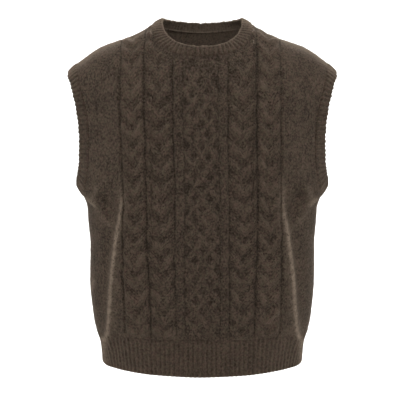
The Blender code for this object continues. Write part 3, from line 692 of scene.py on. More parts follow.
def hand_made(wale, rise):
    """A place shifted a little, since hand knitting is never ruled straight.

    The whole pattern leans a little to one side at the top, and low down the two cables of each
    side meet nearer to the middle.
    """
    top, top_start, top_height = TOP_LEAN
    low, low_start, low_height = LOW_LEAN
    lean = top * eased((rise - top_start) / top_height)
    lean = lean - low * eased((low_start - rise) / low_height)
    wandering = wale + lean + slow_waves(wale, rise, *WANDERS_ACROSS)
    part = np.clip((np.abs(wandering) - COLUMN_EDGE) / (OUTER_CABLE_EDGE - COLUMN_EDGE), 0, 1)
    most, start, height = CABLES_INWARD
    inward = most * (1 - eased((rise - start) / height)) * np.sin(math.pi * part)
    wandering = wandering + np.sign(wandering) * inward
    return wandering, rise + slow_waves(wale, rise, *WANDERS_UP)


def rope(phase, width):
    """1 along the back of each strand and 0 beside it; width is a strand's share of the spacing."""
    away = np.abs(phase - np.round(phase)) * 2 / width
    return np.cos(np.clip(away, 0, 1) * math.pi / 2)


def cable_bounds(place):
    """The middle and half width of the cable that a place lies in."""
    outer = place > INNER_CABLE_EDGE
    low = np.where(outer, INNER_CABLE_EDGE, COLUMN_EDGE)
    high = np.where(outer, OUTER_CABLE_EDGE, INNER_CABLE_EDGE)
    return (low + high) / 2, (high - low) / 2


def horseshoe_phase(across, rise):
    """The phase of a horseshoe cable, whose strands climb from its middle to both its edges."""
    return (rise - CABLE_RISE * np.abs(across) ** CABLE_BOW) / CABLE_REPEAT


def lattice_phases(wale, rise):
    """The phases of the strands that climb to the left and to the right."""
    across, up = wale / LATTICE_WIDTH, rise / LATTICE_REPEAT
    return across + up, across - up


print("the cables end", OUTER_CABLE_EDGE, "m from the middle and repeat every", CABLE_REPEAT, "m")

# %% [markdown]
# ## The height of the pattern
#
# A rope's rounded back is a cosine across the strand. Where one strand crosses another, the higher
# one shows, so the greater of the two heights counts. Between the bands the cloth sinks into
# upright grooves. Light hardly reaches such places and the real ones look darker than their depth
# alone would make them, so their shade is painted: each point also has a number of painted shade,
# high between the strands and in the grooves and below 0, a painted highlight, on the strands'
# backs, and the material mixes in more dark fibre colour where it is high.

# %% The height of the pattern
CABLE_HEIGHT = 0.0050
LATTICE_HEIGHT = 0.0034
COLUMN_HEIGHT = 0.0026
STRANDS_UNEVEN = (0.16, 0.018, 41)
# a strand's share of the spacing: in the diamonds, in a horseshoe, and of the one that shows under
# it, which is lower as well
DIAMOND_STRAND = 0.5
HORSESHOE_STRAND = 0.78
UNDER_STRAND = 0.5
UNDER_STRAND_HEIGHT = 0.28
# the hollow where the two limbs of a horseshoe part: depth, and width as a share of the cable
EYE_DEPTH = 0.6
EYE_WIDTH = 0.15
# how quickly a band rises from its edge
GUTTER = 0.0035
# beside the cables: how high the cloth stands, and how far it takes to come down
EDGE_HEIGHT = 0.0014
EDGE_REACH = 0.025
# the upright grooves: depth, width and painted shade, then the place of each and how strong it is
GROOVE_DEPTH = 0.0016
GROOVE_WIDTH = 0.0023
GROOVE_SHADE = 0.62
GROOVE_UNEVEN = (0.35, 0.05, 43)
GROOVES = (
    (LATTICE_EDGE, 0.5),
    (COLUMN_EDGE, 0.75),
    (INNER_CABLE_EDGE, 0.95),
    (OUTER_CABLE_EDGE, 1.0),
)
# a faint upright line of painted shade beside the armband, with no form of its own: place across
# and up, width and length, and shade
PAINTED_SHADE_LINE = (0.187, 0.418)
PAINTED_SHADE_LINE_SIZE = (0.0031, 0.034)
PAINTED_SHADE_LINE_STRENGTH = 0.95
# how much less painted shade the outer cables get
OUTER_CABLE_LIGHTER = 0.22


def groove(place):
    """1 in the grooves between the upright bands and 0 away from them."""
    return sum(share * bump_at(place - edge, GROOVE_WIDTH) for edge, share in GROOVES)


def cabled_height(wale, rise):
    """How far the front's pattern stands out, for a place in wales from the middle."""
    uneven = 1 + slow_waves(wale, rise, *STRANDS_UNEVEN)
    wale, rise = hand_made(wale, rise)
    place = np.abs(wale)
    over, under = (rope(phase, DIAMOND_STRAND) for phase in lattice_phases(wale, rise))
    sway = 0.1 * np.cos(2 * math.pi * rise / LATTICE_REPEAT)
    diamonds = np.maximum(over * (0.9 + sway), under * (0.9 - sway))
    lattice = LATTICE_HEIGHT * diamonds * np.clip((LATTICE_EDGE - place) / GUTTER, 0, 1)
    inside = np.minimum(place - LATTICE_EDGE, COLUMN_EDGE - place) / GUTTER
    column = COLUMN_HEIGHT * np.sqrt(np.clip(inside, 0, 1))
    middle, half = cable_bounds(place)
    across = np.clip((place - middle) / half, -1, 1)
    phase = horseshoe_phase(across, rise)
    over = rope(phase, HORSESHOE_STRAND)
    under = UNDER_STRAND_HEIGHT * rope(phase + 0.5, UNDER_STRAND)
    eye = 1 - EYE_DEPTH * bump_at(across, EYE_WIDTH) * (1 - 0.7 * over)
    crown = (1 - np.abs(across) ** 6) * eye
    cable = CABLE_HEIGHT * (0.08 + 0.92 * np.maximum(over, under)) * crown
    side = EDGE_HEIGHT * np.clip((place - OUTER_CABLE_EDGE) / GUTTER, 0, 1)
    side = side * np.clip(1 - (place - OUTER_CABLE_EDGE) / EDGE_REACH, 0, 1)
    choices = [place < LATTICE_EDGE, place < COLUMN_EDGE, place < OUTER_CABLE_EDGE]
    height = np.select(choices, [lattice, column, cable], side) * uneven
    return height - GROOVE_DEPTH * groove(place)


def cabled_painted_shade(wale, rise, height):
    """Painted shade between the strands and in the grooves, and below 0 a painted highlight on
    their backs.
    """
    place = np.abs(hand_made(wale, rise)[0])
    full = np.where(place < LATTICE_EDGE, LATTICE_HEIGHT, CABLE_HEIGHT)
    above_hem = eased(rise / 0.012)
    inside = np.clip((OUTER_CABLE_EDGE + 0.004 - place) / 0.004, 0, 1) * above_hem
    outer = eased((place - INNER_CABLE_EDGE) / 0.004)
    # painted shade between the strands, a painted highlight on their backs, less shade on the outer
    # cables
    between = (np.clip(0.5 - height / full, -0.5, 0.6) - OUTER_CABLE_LIGHTER * outer) * inside
    # painted shade in the grooves, stronger in some places than in others
    depth = GROOVE_SHADE * (1 + slow_waves(wale, rise, *GROOVE_UNEVEN))
    # the faint line of painted shade beside the armband
    line = bump_at(place - PAINTED_SHADE_LINE[0], PAINTED_SHADE_LINE_SIZE[0])
    line = PAINTED_SHADE_LINE_STRENGTH * line * bump_at(rise - PAINTED_SHADE_LINE[1], PAINTED_SHADE_LINE_SIZE[1])
    return between + depth * groove(place) * above_hem + line


places = np.meshgrid(np.linspace(0, OUTER_CABLE_EDGE, 200), np.linspace(0, 0.4, 300))
print("the pattern stands out up to", round(float(cabled_height(*places).max()), 4), "m")

# %% [markdown]
# ## Stitches along the strands
#
# Each stitch is a small V of yarn, too fine to model one by one. The material draws them, and the
# cloth's texture coordinates tell it where: they count the stitches across and up. A texture of the
# whole cloth would run straight through the ropes, so in a strand the count follows the strand.

# %% Stitches along the strands
STITCH_WIDTH = 0.0036
STITCH_HEIGHT = 0.0029


def plain_stitches(wale, rise):
    """Where a place lies in a plain knitted cloth, counted in stitches across and up."""
    return np.stack([wale / STITCH_WIDTH, rise / STITCH_HEIGHT], -1)


def cabled_stitches(wale, rise, own_wale, own_rise):
    """The same on the cabled front, where the stitches follow their strand.

    own_wale and own_rise are the middle of the face that a corner belongs to, so that all its
    corners are counted along the same strand.
    """
    wale, rise = hand_made(wale, rise)
    own_wale, own_rise = hand_made(own_wale, own_rise)
    place, own = np.abs(wale), np.abs(own_wale)
    over, under = lattice_phases(wale, rise)
    own_phases = lattice_phases(own_wale, own_rise)
    own_over, own_under = (rope(phase, DIAMOND_STRAND) for phase in own_phases)
    slant = math.hypot(1 / LATTICE_WIDTH, 1 / LATTICE_REPEAT)
    run = np.stack([wale / LATTICE_REPEAT, rise / LATTICE_WIDTH]) / slant / STITCH_HEIGHT
    strands = 1 / slant / STITCH_WIDTH
    climbing = np.stack([over * strands, run[1] - run[0]], -1)
    leaning = np.stack([under * strands, run[1] + run[0]], -1)
    raised = np.maximum(own_over, own_under) > 0.15
    on_over = own_over > own_under
    middle, half = cable_bounds(own)
    across = (place - middle) / half
    limb = np.abs(across) * half * 1.4 / STITCH_HEIGHT
    cable = np.stack([horseshoe_phase(across, rise) * 6.0, limb], -1)
    plain = plain_stitches(wale, rise)
    in_lattice = (own < LATTICE_EDGE - GUTTER) & raised
    in_cable = (own > COLUMN_EDGE) & (own < OUTER_CABLE_EDGE)
    places = np.where((in_lattice & on_over)[..., None], climbing, plain)
    places = np.where((in_lattice & ~on_over)[..., None], leaning, places)
    return np.where(in_cable[..., None], cable, places)


print("stitches to 0.1 m, across and up:", round(0.1 / STITCH_WIDTH), round(0.1 / STITCH_HEIGHT))

# %% [markdown]
# ## From a grid to a closed piece of cloth
#
# Cloth has a face and an inside. Both start as flat grids, the face fine and the inside coarse, and
# bridging their borders makes the narrow rim between them, so that the piece is one closed shell.
# Solidify could add the thickness too, but then the inside would have all the face's points. While
# both are still flat squares the bridge is sure to be straight. After that the points are moved to
# their places on the vest.

# %% From a grid to a closed piece of cloth
def flat_shell(face_shape, inside_shape):
    """Two flat grids, each given as its rows and columns of points, bridged at the rim."""
    bm = bmesh.new()
    rims = []
    for level, (rows, columns) in ((0.0, face_shape), (-0.1, inside_shape)):
        made = bmesh.ops.create_grid(bm, x_segments=columns - 1, y_segments=rows - 1, size=1)
        for v in made["verts"]:
            v.co.z = level
        rims += [e for e in bm.edges if e.is_boundary and e.verts[0].co.z == level]
    bmesh.ops.bridge_loops(bm, edges=rims)
    return bm


def count_stitches(mesh, corner_places, stitches):
    """Write texture coordinates that count stitches, from the (wale, rise) of every point."""
    corner = np.zeros(len(mesh.loops), int)
    mesh.loops.foreach_get("vertex_index", corner)
    size = np.zeros(len(mesh.polygons), int)
    mesh.polygons.foreach_get("loop_total", size)
    owner = np.repeat(np.arange(len(size)), size)
    places = corner_places[corner]
    own = np.stack([np.bincount(owner, places[:, k]) / size for k in (0, 1)], -1)[owner]
    uv = stitches(places[:, 0], places[:, 1], own[:, 0], own[:, 1])
    mesh.uv_layers.new(name="stitches").data.foreach_set("uv", uv.astype(np.float32).ravel())


def cloth_piece(name, layers, stitches):
    """A closed piece of cloth.

    layers are the face and the inside. Each is a grid of points, and for every point its
    (wale, rise), its painted shade and its painted highlight. stitches turns corners into places
    counted in stitches.
    """
    grids, places, painted_shades, painted_highlights = zip(*layers)
    bm = flat_shell(*(grid.shape[:2] for grid in grids))
    for v, point in zip(bm.verts, np.concatenate([grid.reshape(-1, 3) for grid in grids])):
        v.co = point
    bm.normal_update()
    bmesh.ops.recalc_face_normals(bm, faces=bm.faces)
    mesh = bpy.data.meshes.new(name)
    bm.to_mesh(mesh)
    bm.free()
    mesh.shade_smooth()
    count_stitches(mesh, np.concatenate([place.reshape(-1, 2) for place in places]), stitches)
    for label, values in (("painted_shade", painted_shades), ("painted_highlight", painted_highlights)):
        shade = mesh.attributes.new(label, "FLOAT", "POINT")
        values = np.concatenate([value.ravel() for value in values])
        shade.data.foreach_set("value", values.astype(np.float32))

    piece = bpy.data.objects.new(name, mesh)
    bpy.context.scene.collection.objects.link(piece)
    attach(piece, "root")
    return piece


# %% [markdown]
# ## Laying the cloth out
#
# Both faces of a layer are found in the same way: the point of the sheet, moved outwards by the
# folds and the pattern, and for the inside moved inwards by the thickness of the cloth. At the side
# seams front and back have to meet exactly, so there the outward direction is turned into the
# seam's own plane and everything raised is eased down to nothing.

# %% Laying the cloth out
WALL = 0.0028
SEAM_REACH = 0.008
SEAM_NEAR = 0.0002
# the inside is painted lighter than the face, and gets some painted highlight all over
INSIDE_PAINTED_SHADE = -0.5
INSIDE_PAINTED_LIGHT = 0.27
# how far below the shoulder and above the hem the pattern fades
TOP_FADE = 0.042
HEM_FADE = 0.012
CLOTH_UNEVEN = (0.0003, 0.012, 5)


def unit(v):
    """Directions of length 1."""
    return v / (np.linalg.norm(v, axis=-1, keepdims=True) + 1e-12)


def both_halves(arc, rise):
    """A half panel's places and their mirror image, from -X to +X."""
    whole_arc = np.concatenate([-arc[:, :0:-1], arc], 1)
    whole_rise = np.concatenate([rise[:, :0:-1], rise], 1)
    return whole_arc, whole_rise


def in_seam_plane(out, points):
    """Outward directions, turned into the plane between front and back where they are near it."""
    out[..., 1] *= 1 - bump_at(points[..., 1], SEAM_REACH)
    return unit(out)


def outward_of(side, points):
    """The direction out of the cloth at each point of a grid."""
    across, along = np.gradient(points, axis=1), np.gradient(points, axis=0)
    return in_seam_plane(unit(np.cross(across, along) * -FACING[side]), points)


def closed_seams(side, points):
    """The points with those on the seam plane between front and back laid just past it."""
    forward = points[..., 1] * FACING[side]
    points[..., 1] = np.where(forward < SEAM_NEAR, -SEAM_NEAR / 2, forward) * FACING[side]
    return points


def inside_painted_light(rise):
    """The inside's painted shade and painted highlight, the same for all its points."""
    return np.full_like(rise, INSIDE_PAINTED_SHADE), np.full_like(rise, INSIDE_PAINTED_LIGHT)


def panel(name, side, grid, inside_grid, raised, painted_shade_of, stitches):
    """A front or back panel. Each grid has its wales, shares and rows, and raised gives heights."""
    layers = []
    for (wales, shares, rows), sunk in ((grid, 0.0), (inside_grid, WALL)):
        arc, rise = both_halves(*panel_places(side, wales, shares, rows))
        base = cloth_point(side, arc, rise)
        wale, above_hem = arc / spread(rise), rise - HEM_TOP
        to_side = half_girth(side, rise) - np.abs(arc)
        seam = np.where(rise < UNDERARM_SEAM + 0.004, eased(to_side / 0.010), 1.0)
        pattern = 0.0
        if sunk:
            shade, painted_highlight = inside_painted_light(rise)
        else:
            pattern = raised(wale, above_hem)
            pattern *= 0.12 + 0.88 * eased((rise[-1:] - rise) / TOP_FADE)
            pattern *= 0.12 + 0.88 * eased(above_hem / HEM_FADE)
            pattern += slow_waves(arc, rise, *CLOTH_UNEVEN)
            shade = painted_shade_of(wale, above_hem, pattern)
            # painted highlight on the face, less of it where the painted shade is deep
            painted_highlight = painted_highlight_of(side, base) * (1 - np.clip(1.8 * shade - 0.6, 0, 0.9))
        lift = (fold_height(side, base) + pattern) * seam - sunk
        points = closed_seams(side, base + outward_of(side, base) * lift[..., None])
        layers.append((points, np.stack([wale, above_hem], -1), shade, painted_highlight))
    return cloth_piece(name, layers, stitches)


print("thickness of the cloth:", WALL)

# %% [markdown]
# ## The cabled front
#
# The front is the piece that people look at, and its ropes have to be round. That takes a grid with
# squares less than half a stitch wide. Plain cloth doesn't need it, so the sides have wider
# squares, and the inside wider ones still. The columns stay on the columns of stitches, so that
# each cable runs straight up the cloth.

# %% The cabled front
CABLED_REACH = 0.1440
cabled_wales = np.linspace(0, CABLED_REACH, 105)
side_shares = np.concatenate([np.linspace(0, 0.55, 45)[1:], np.linspace(0.55, 1, 17)[1:]])
front = panel(
    "front",
    "front",
    (cabled_wales, side_shares, 286),
    (np.linspace(0, CABLED_REACH, 16), np.linspace(0, 1, 9)[1:], 36),
    cabled_height,
    cabled_painted_shade,
    cabled_stitches,
)
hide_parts("front_panel")

# %% [markdown]
# ## The plain back
#
# The back is plain knitting: every stitch the same, with no ropes to raise. It could be modelled
# stitch by stitch, but at this size a bump in the material looks the same, so only the folds and
# the soft unevenness of the cloth are in the mesh.

# %% The plain back
PLAIN_REACH = 0.092


def nothing_raised(wale, rise, height=None):
    """Plain knitting has no raised pattern, nor any strands to lie between."""
    return np.zeros_like(rise)


def every_stitch_plain(wale, rise, own_wale, own_rise):
    """Stitches of a plain cloth, which stand upright everywhere."""
    return plain_stitches(wale, rise)


back = panel(
    "back",
    "back",
    (np.linspace(0, PLAIN_REACH, 40), np.linspace(0, 1, 61)[1:], 200),
    (np.linspace(0, PLAIN_REACH, 10), np.linspace(0, 1, 15)[1:], 36),
    nothing_raised,
    nothing_raised,
    every_stitch_plain,
)
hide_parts("back_panel")

# %% [markdown]
# ## The ribbed hem
#
# A one-by-one rib has a raised column of knit stitches, then a sunk one of purl stitches, and it
# draws the body in. The hem is knitted on at the end of each panel. An array of one rib would not
# follow the body round, so its ribs are heights on a grid too, with eight columns to a rib. The
# last rows round over at the bottom, where the stitches are bound off. The ribs run straight down,
# and where the hem draws in they close up at its sides only.

# %% The ribbed hem
HEM_RIBS = 62
RIB_HEIGHT = 0.0013
RIB_COLUMNS = 8
RIBS_UNEVEN = (0.14, 0.02, 61)
# painted shade: how much darker it is between the ribs than on them, and everywhere on the ribbing
RIB_SHADE = 0.62
RIB_PAINTED_SHADE = 0.12
# the lowest edge, which is rounded over and painted paler: how high it reaches, and how far it
# rounds
HEM_ROUNDING_REACH = 0.0022
HEM_ROUNDING = 0.0016
# how far up the lowest edge's painted light reaches, how much painted shade it takes away and how
# much painted highlight it adds
HEM_EDGE_REACH = 0.003
HEM_EDGE_PAINTED_LIGHT = 0.5
HEM_EDGE_HIGHLIGHT = 0.35


def rib_wave(phase):
    """1 along each raised rib and 0 between two."""
    return np.clip(0.5 + 0.62 * np.cos(2 * math.pi * phase), 0, 1) ** 0.9


def rib_stitches(rib, rise, own_rib, own_rise):
    """Stitches of a one-by-one rib, two to a rib."""
    return np.stack([rib * 2 + 0.5, rise / STITCH_HEIGHT], -1)


def rib_shade(wave):
    """The painted shade of a rib for its height from 0 to 1: dark between the ribs, below 0 on
    their backs.
    """
    return RIB_SHADE * (0.6 - wave)


def hem(name, side):
    """The ribbed hem of one face."""
    layers = []
    top = HEM_TOP + SEAM_NEAR
    for columns, rows, sunk in ((HEM_RIBS * RIB_COLUMNS, 40, 0.0), (132, 8, WALL)):
        down = np.linspace(0, 1, rows + 1)
        rise = np.repeat((HEM_BOTTOM + (top - HEM_BOTTOM) * down)[:, None], columns + 1, 1)
        part = np.linspace(-1, 1, columns + 1)
        drawn_in = half_girth(side, rise) - half_girth(side, top)
        arc = part * half_girth(side, top) + np.sign(part) * np.abs(part) ** 4 * drawn_in
        base = cloth_point(side, arc, rise)
        above_edge = rise - HEM_BOTTOM
        rib = np.broadcast_to((part + 1) / 2 * HEM_RIBS - 0.5, rise.shape)
        seam = eased((1 - np.abs(part)) * 0.22 / 0.006)
        pattern = rounding = 0.0
        if sunk:
            shade, painted_highlight = inside_painted_light(rise)
        else:
            pattern = RIB_HEIGHT * rib_wave(rib) * (1 + slow_waves(arc, rise, *RIBS_UNEVEN))
            pattern *= 0.1 + 0.9 * eased((top - rise) / 0.006)
            turned = np.clip(1 - above_edge / HEM_ROUNDING_REACH, 0, 1)
            rounding = -HEM_ROUNDING * (1 - np.sqrt(1 - turned**2))
            # painted shade between the ribs and over the whole hem, less of it and a painted
            # highlight at the lowest edge
            low = np.clip(1 - above_edge / HEM_EDGE_REACH, 0, 1)
            shade = rib_shade(pattern / RIB_HEIGHT) + RIB_PAINTED_SHADE - HEM_EDGE_PAINTED_LIGHT * low
            painted_highlight = painted_highlight_of(side, base) + HEM_EDGE_HIGHLIGHT * low
        lift = (fold_height(side, base) + pattern) * seam + rounding - sunk
        points = closed_seams(side, base + outward_of(side, base) * lift[..., None])
        layers.append((points, np.stack([rib, above_edge], -1), shade, painted_highlight))
    piece = cloth_piece(name, layers, rib_stitches)
    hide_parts(name.replace("rib_", "hem_"))
    return piece


hem_front = hem("rib_front", "front")
hem_back = hem("rib_back", "back")

# %% [markdown]
# ## The bands
#
# The neckband and the armbands are narrow ribbed strips, picked up along the panels' edge and
# knitted outwards. Each is a ring between two lines: the one where it is sewn on, and its free
# edge. The ribs run across, from one line to the other, so points of both lines are first matched
# in pairs that lie across from each other.

# %% Pairs of points across a band
def run_length(points):
    """How far along a line each of its points lies."""
    steps = np.linalg.norm(np.diff(points, axis=0), axis=1)
    return np.concatenate([[0], np.cumsum(steps)])


def matched(seam, edge, shares):
    """Points of a sewn line and a free edge that lie across from each other.

    A seam's row is a point and the outward direction there. Each point of the edge is matched with
    the nearest of the seam, and the pairs are then spaced evenly along the middle of the band.
    """
    away = np.linalg.norm(edge[:, None] - seam[None, :, :3], axis=-1)
    nearest = np.maximum.accumulate(away.argmin(1)).astype(float)
    nearest[[0, -1]] = 0, len(seam) - 1
    ends = np.pad(nearest, 15, mode="reflect", reflect_type="odd")
    place = np.convolve(ends, np.ones(31) / 31, "valid")
    sewn = np.stack([np.interp(place, np.arange(len(seam)), column) for column in seam.T], -1)
    pairs = np.concatenate([sewn, edge], 1)
    length = run_length((sewn[:, :3] + edge) / 2)
    return np.stack([np.interp(shares * length[-1], length, column) for column in pairs.T], -1)


# %% [markdown]
# A band is a strip that is rolled over at its free edge, so it is thicker than the panels. Its
# section runs up from the seam, over the face, round the free edge and back along the inside, where
# it ends in a small ridge under the panel. A flat profile could be swept along the ring, but the
# ribs change its height from place to place, so each row of the section is worked out all round.

# %% The section across a band
BAND_THICKNESS = 0.0034


def band_section():
    """The section across a band, as (share across, depth below the face, how much rib it has)."""
    rows = [(-0.03, 0.0016, 0.0)]
    for w in np.linspace(0, 1, 13):
        rows.append((w, 0.0007 * (1 - min(w / 0.16, 1.0)) ** 2, min(w / 0.12, 1.0)))
    for turned in np.linspace(0, math.pi, 9)[1:-1]:
        rows.append((1.0, BAND_THICKNESS / 2 * (1 - math.cos(turned)), -turned))
    for w in np.linspace(1, 0.1, 7):
        rows.append((w, BAND_THICKNESS, 0.6))
    ridge_rows = ((0.05, 0.0003), (0.0, 0.0007), (-0.06, 0.0008), (-0.12, 0.0002), (-0.15, -0.0003))
    for w, cord in ridge_rows:
        rows.append((w, BAND_THICKNESS + cord, 0.0))
    rows.append((-0.04, 0.0029, 0.0))
    return rows


print("rows across a band:", len(band_section()))

# %% [markdown]
# The rows are found by walking along the section. At the free edge the ribs round over and end a
# little unevenly, as cast-off stitches do. The edge catches the light, and so do the shoulders, so
# both get a painted highlight.

# %% The rows of a band
BAND_COLUMNS = 8
BAND_BULGE = 0.0009
# painted shade on a band's face and inside, and a painted highlight on the small ridge under the
# panel
BAND_PAINTED_SHADE = 1.6 * RIB_PAINTED_SHADE
BAND_INSIDE_PAINTED_SHADE = 0.2
RIDGE_HIGHLIGHT = 0.2


def band_rows(start, out, free, rim_light):
    """The points, painted shade and painted highlight of a band, row by row along its section.

    start and free are the points of both lines, and out is the outward direction at start.
    """
    count = len(start)
    across = unit(free - start)
    run = np.roll(free, -1, 0) - np.roll(free, 1, 0)
    free_out = unit(np.cross(run, free - start))
    free_out *= np.sign((free_out * out).sum(-1, keepdims=True))
    half = BAND_THICKNESS / 2
    inner_edge = free - across * half
    wave = rib_wave(np.arange(count) / BAND_COLUMNS)
    turn_round = np.arange(count) / count * 2 * math.pi
    uneven = sum(np.sin(turn_round * n + n * n) for n in (17, 23, 29, 37)) / 4
    rows = []
    for w, depth, rib in band_section():
        share = min(max(w, 0.0), 1.0)
        facing = unit(out * (1 - share) + free_out * share)
        in_back = depth >= BAND_THICKNESS
        if rib < 0:
            over = math.cos(-rib)
            lift = half + RIB_HEIGHT * wave * (0.5 + 0.5 * over) - half * (1 - over)
            reach = half * math.sin(-rib) * (0.6 + 0.7 * wave + 0.9 * uneven)
            point = inner_edge + across * reach[:, None] + facing * (lift - half)[:, None]
            pattern = wave
        else:
            relief = RIB_HEIGHT * wave * rib * (-0.5 if in_back else 1.0)
            bulge = BAND_BULGE * math.sin(math.pi * share)
            middle = start * (1 - w) + inner_edge * w
            point = middle + facing * (relief + bulge - depth)[:, None]
            pattern = wave * min(rib * 1.2, 1.0)
        # the inside gets painted shade and a painted highlight all over, more on the ridge; the
        # face gets painted shade, and a painted highlight at the free edge and on the shoulders
        if in_back:
            dark = BAND_INSIDE_PAINTED_SHADE
            light = INSIDE_PAINTED_LIGHT + RIDGE_HIGHLIGHT * (depth > BAND_THICKNESS + 0.0001)
        else:
            dark = BAND_PAINTED_SHADE
            light = rim_light * (rib < 0 or w == 1.0)
            light = light + shoulder_light(np.abs(point[:, 0]), point[:, 2])
        rows.append((point, rib_shade(pattern) + dark, light * np.ones(count)))
    return tuple(np.array(values) for values in zip(*rows))


print("thickness of a band:", BAND_THICKNESS)

# %% [markdown]
# A grid is rolled up along these rows and round the ring. Each point of the grid is moved to its
# place, and where the grid's borders meet their points are merged, which closes the band without
# any seam of its own.

# %% A ribbed ring
def band(name, seams, edges, ribs, node, rim_light):
    """A ribbed ring between sewn lines, each a point and its outward direction, and free edges."""
    shares = np.arange(ribs * BAND_COLUMNS) / (ribs * BAND_COLUMNS)
    pairs = np.concatenate([matched(seam, edge, shares) for seam, edge in zip(seams, edges)])
    start, out, free = pairs[:, :3], unit(pairs[:, 3:6]), pairs[:, 6:]
    # the first row and column come once more at the end
    closed, ring_shades, lights = (
        np.pad(grid, ((0, 1), (0, 1), (0, 0))[: grid.ndim], mode="wrap")
        for grid in band_rows(start, out, free, rim_light)
    )

    bm = bmesh.new()
    rows, columns = closed.shape[:2]
    bmesh.ops.create_grid(bm, x_segments=columns - 1, y_segments=rows - 1, size=1)
    uv = bm.loops.layers.uv.new("stitches")
    painted_shade = bm.verts.layers.float.new("painted_shade")
    painted_highlight = bm.verts.layers.float.new("painted_highlight")
    bm.verts.ensure_lookup_table()
    lengths = run_length(closed[:, 0])
    for face in bm.faces:
        for loop in face.loops:
            row, column = divmod(loop.vert.index, columns)
            loop[uv].uv = (column / BAND_COLUMNS * 2 + 0.5, lengths[row] / STITCH_HEIGHT)
    for v in bm.verts:
        place = divmod(v.index, columns)
        v[painted_shade], v[painted_highlight] = ring_shades[place], lights[place]
        v.co = closed[place]
    bmesh.ops.remove_doubles(bm, verts=bm.verts, dist=1e-6)
    bmesh.ops.recalc_face_normals(bm, faces=bm.faces)
    mesh = bpy.data.meshes.new(name)
    bm.to_mesh(mesh)
    bm.free()
    mesh.shade_smooth()
    piece = bpy.data.objects.new(name, mesh)
    bpy.context.scene.collection.objects.link(piece)
    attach(piece, "root")
    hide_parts(node)
    return piece


# %% [markdown]
# ## Seams and free edges of the bands
#
# The bands have to meet the panels everywhere, so their lines come from the same tables: the
# neckband's seam is the top of both panels between the neck points, and an armband's seam is their
# edge from the underarm to the shoulder tip. Each line is drawn for the front and the back, and
# both halves meet in the plane between them.

# %% Seams and free edges of the bands
NECK_HALF_WIDTH = 0.0717
NECK_EDGE_DROP = {"front": 0.0480, "back": 0.0088}
NECK_EDGE_DEPTH = {"front": 0.086, "back": 0.066}
NECK_PLAN_ROUNDNESS = 2.2
LINE_POINTS = 241
# ribs to each half of a band, and how much painted highlight its free edge gets
NECK_RIBS, NECK_RIM_LIGHT = 38, 0.4
ARM_RIBS, ARM_RIM_LIGHT = 36, 0.1


def seam_with_outward(side, arc, rise):
    """Points of a seam, from plane to plane, with the outward direction at each."""
    step = 0.002
    middle = cloth_point(side, arc, rise)
    edge = half_girth(side, rise)
    left = cloth_point(side, np.maximum(arc - step, -edge), rise)
    right = cloth_point(side, np.minimum(arc + step, edge), rise)
    below = cloth_point(side, arc, rise - step)
    out = unit(np.cross(right - left, middle - below) * -FACING[side])
    out = in_seam_plane(out, middle)
    middle[[0, -1], 1] = 0.0
    return np.concatenate([middle, out], 1)


def close_at_ends(start, end):
    """Heights from start to end, closer together towards both."""
    return start + (end - start) * (1 - np.cos(np.linspace(0, math.pi, LINE_POINTS))) / 2


def neck_seam(side):
    """The neckband's sewn line on one face, from -X to +X."""
    x = NECK_SEAM_HALF_WIDTH * np.sin(np.linspace(-math.pi / 2, math.pi / 2, LINE_POINTS))
    away = np.abs(x)
    rise = rise_at(away, neck_seam_height(side, away))
    arc = np.sign(x) * arc_of_angle(side, angle_across(away, rise), rise)
    line = seam_with_outward(side, arc, rise)
    line[:, 0] = x
    return line


def neck_edge(side):
    """The neckband's free edge on one face, from -X to +X."""
    angle = np.linspace(-math.pi / 2, math.pi / 2, LINE_POINTS)
    sine, cosine = np.sin(angle), np.clip(np.cos(angle), 0, 1)
    x = NECK_HALF_WIDTH * np.abs(sine) ** (2 / NECK_PLAN_ROUNDNESS)
    y = FACING[side] * NECK_EDGE_DEPTH[side] * cosine ** (2 / NECK_PLAN_ROUNDNESS)
    inside = np.clip(1 - (x / NECK_HALF_WIDTH) ** NECK_ROUNDNESS[side], 0, 1)
    z = -NECK_EDGE_DROP[side] * inside ** (1 / NECK_ROUNDNESS[side])
    return np.stack([np.sign(sine) * x, y, z], -1)


def arm_seam_line(side, hand):
    """An armband's sewn line on one face, from the underarm to the shoulder."""
    rise = close_at_ends(UNDERARM_SEAM, top_rise(ARM_SEAM[-1, 1]))
    arc = edge_arc(side, rise)
    arc[0] = half_girth(side, rise[0])
    line = seam_with_outward(side, arc, rise)
    line[:, [0, 3]] *= hand
    return line


def arm_edge_line(side, hand):
    """An armband's free edge on one face, from the underarm to the shoulder."""
    rise = close_at_ends(UNDERARM, top_rise(half_width(SHOULDER_LEVEL)))
    line = point_at(side, np.full(len(rise), math.pi / 2), rise)
    line[[0, -1], 1] = 0.0
    return line * (hand, 1.0, 1.0)


def there_and_back(line, *given):
    """A line on the front, then the same on the back the other way round."""
    return [line("front", *given), line("back", *given)[::-1]]


neck_lines = there_and_back(neck_seam), there_and_back(neck_edge)
neckband = band("neck_rib", *neck_lines, NECK_RIBS, "neckband", NECK_RIM_LIGHT)
arm_ribs = []
for hand, word in ((1.0, "left"), (-1.0, "right")):
    arm_lines = there_and_back(arm_seam_line, hand), there_and_back(arm_edge_line, hand)
    arm_rib = band("arm_rib_" + word, *arm_lines, ARM_RIBS, "armband_" + word, ARM_RIM_LIGHT)
    arm_ribs.append(arm_rib)

# %% [markdown]
# ## Wool
#
# The yarn is a heather: fibres of several browns are carded together before spinning, so the cloth
# is never one flat colour. A picture of wool could be laid on it, but it would repeat and go soft
# from near by, so noise makes the fibres. Two node groups share the work between the pieces: one
# draws the two slanting legs of each knit stitch as a height, and one mixes the fibres' colours.
# First come a few helpers that make the nodes.

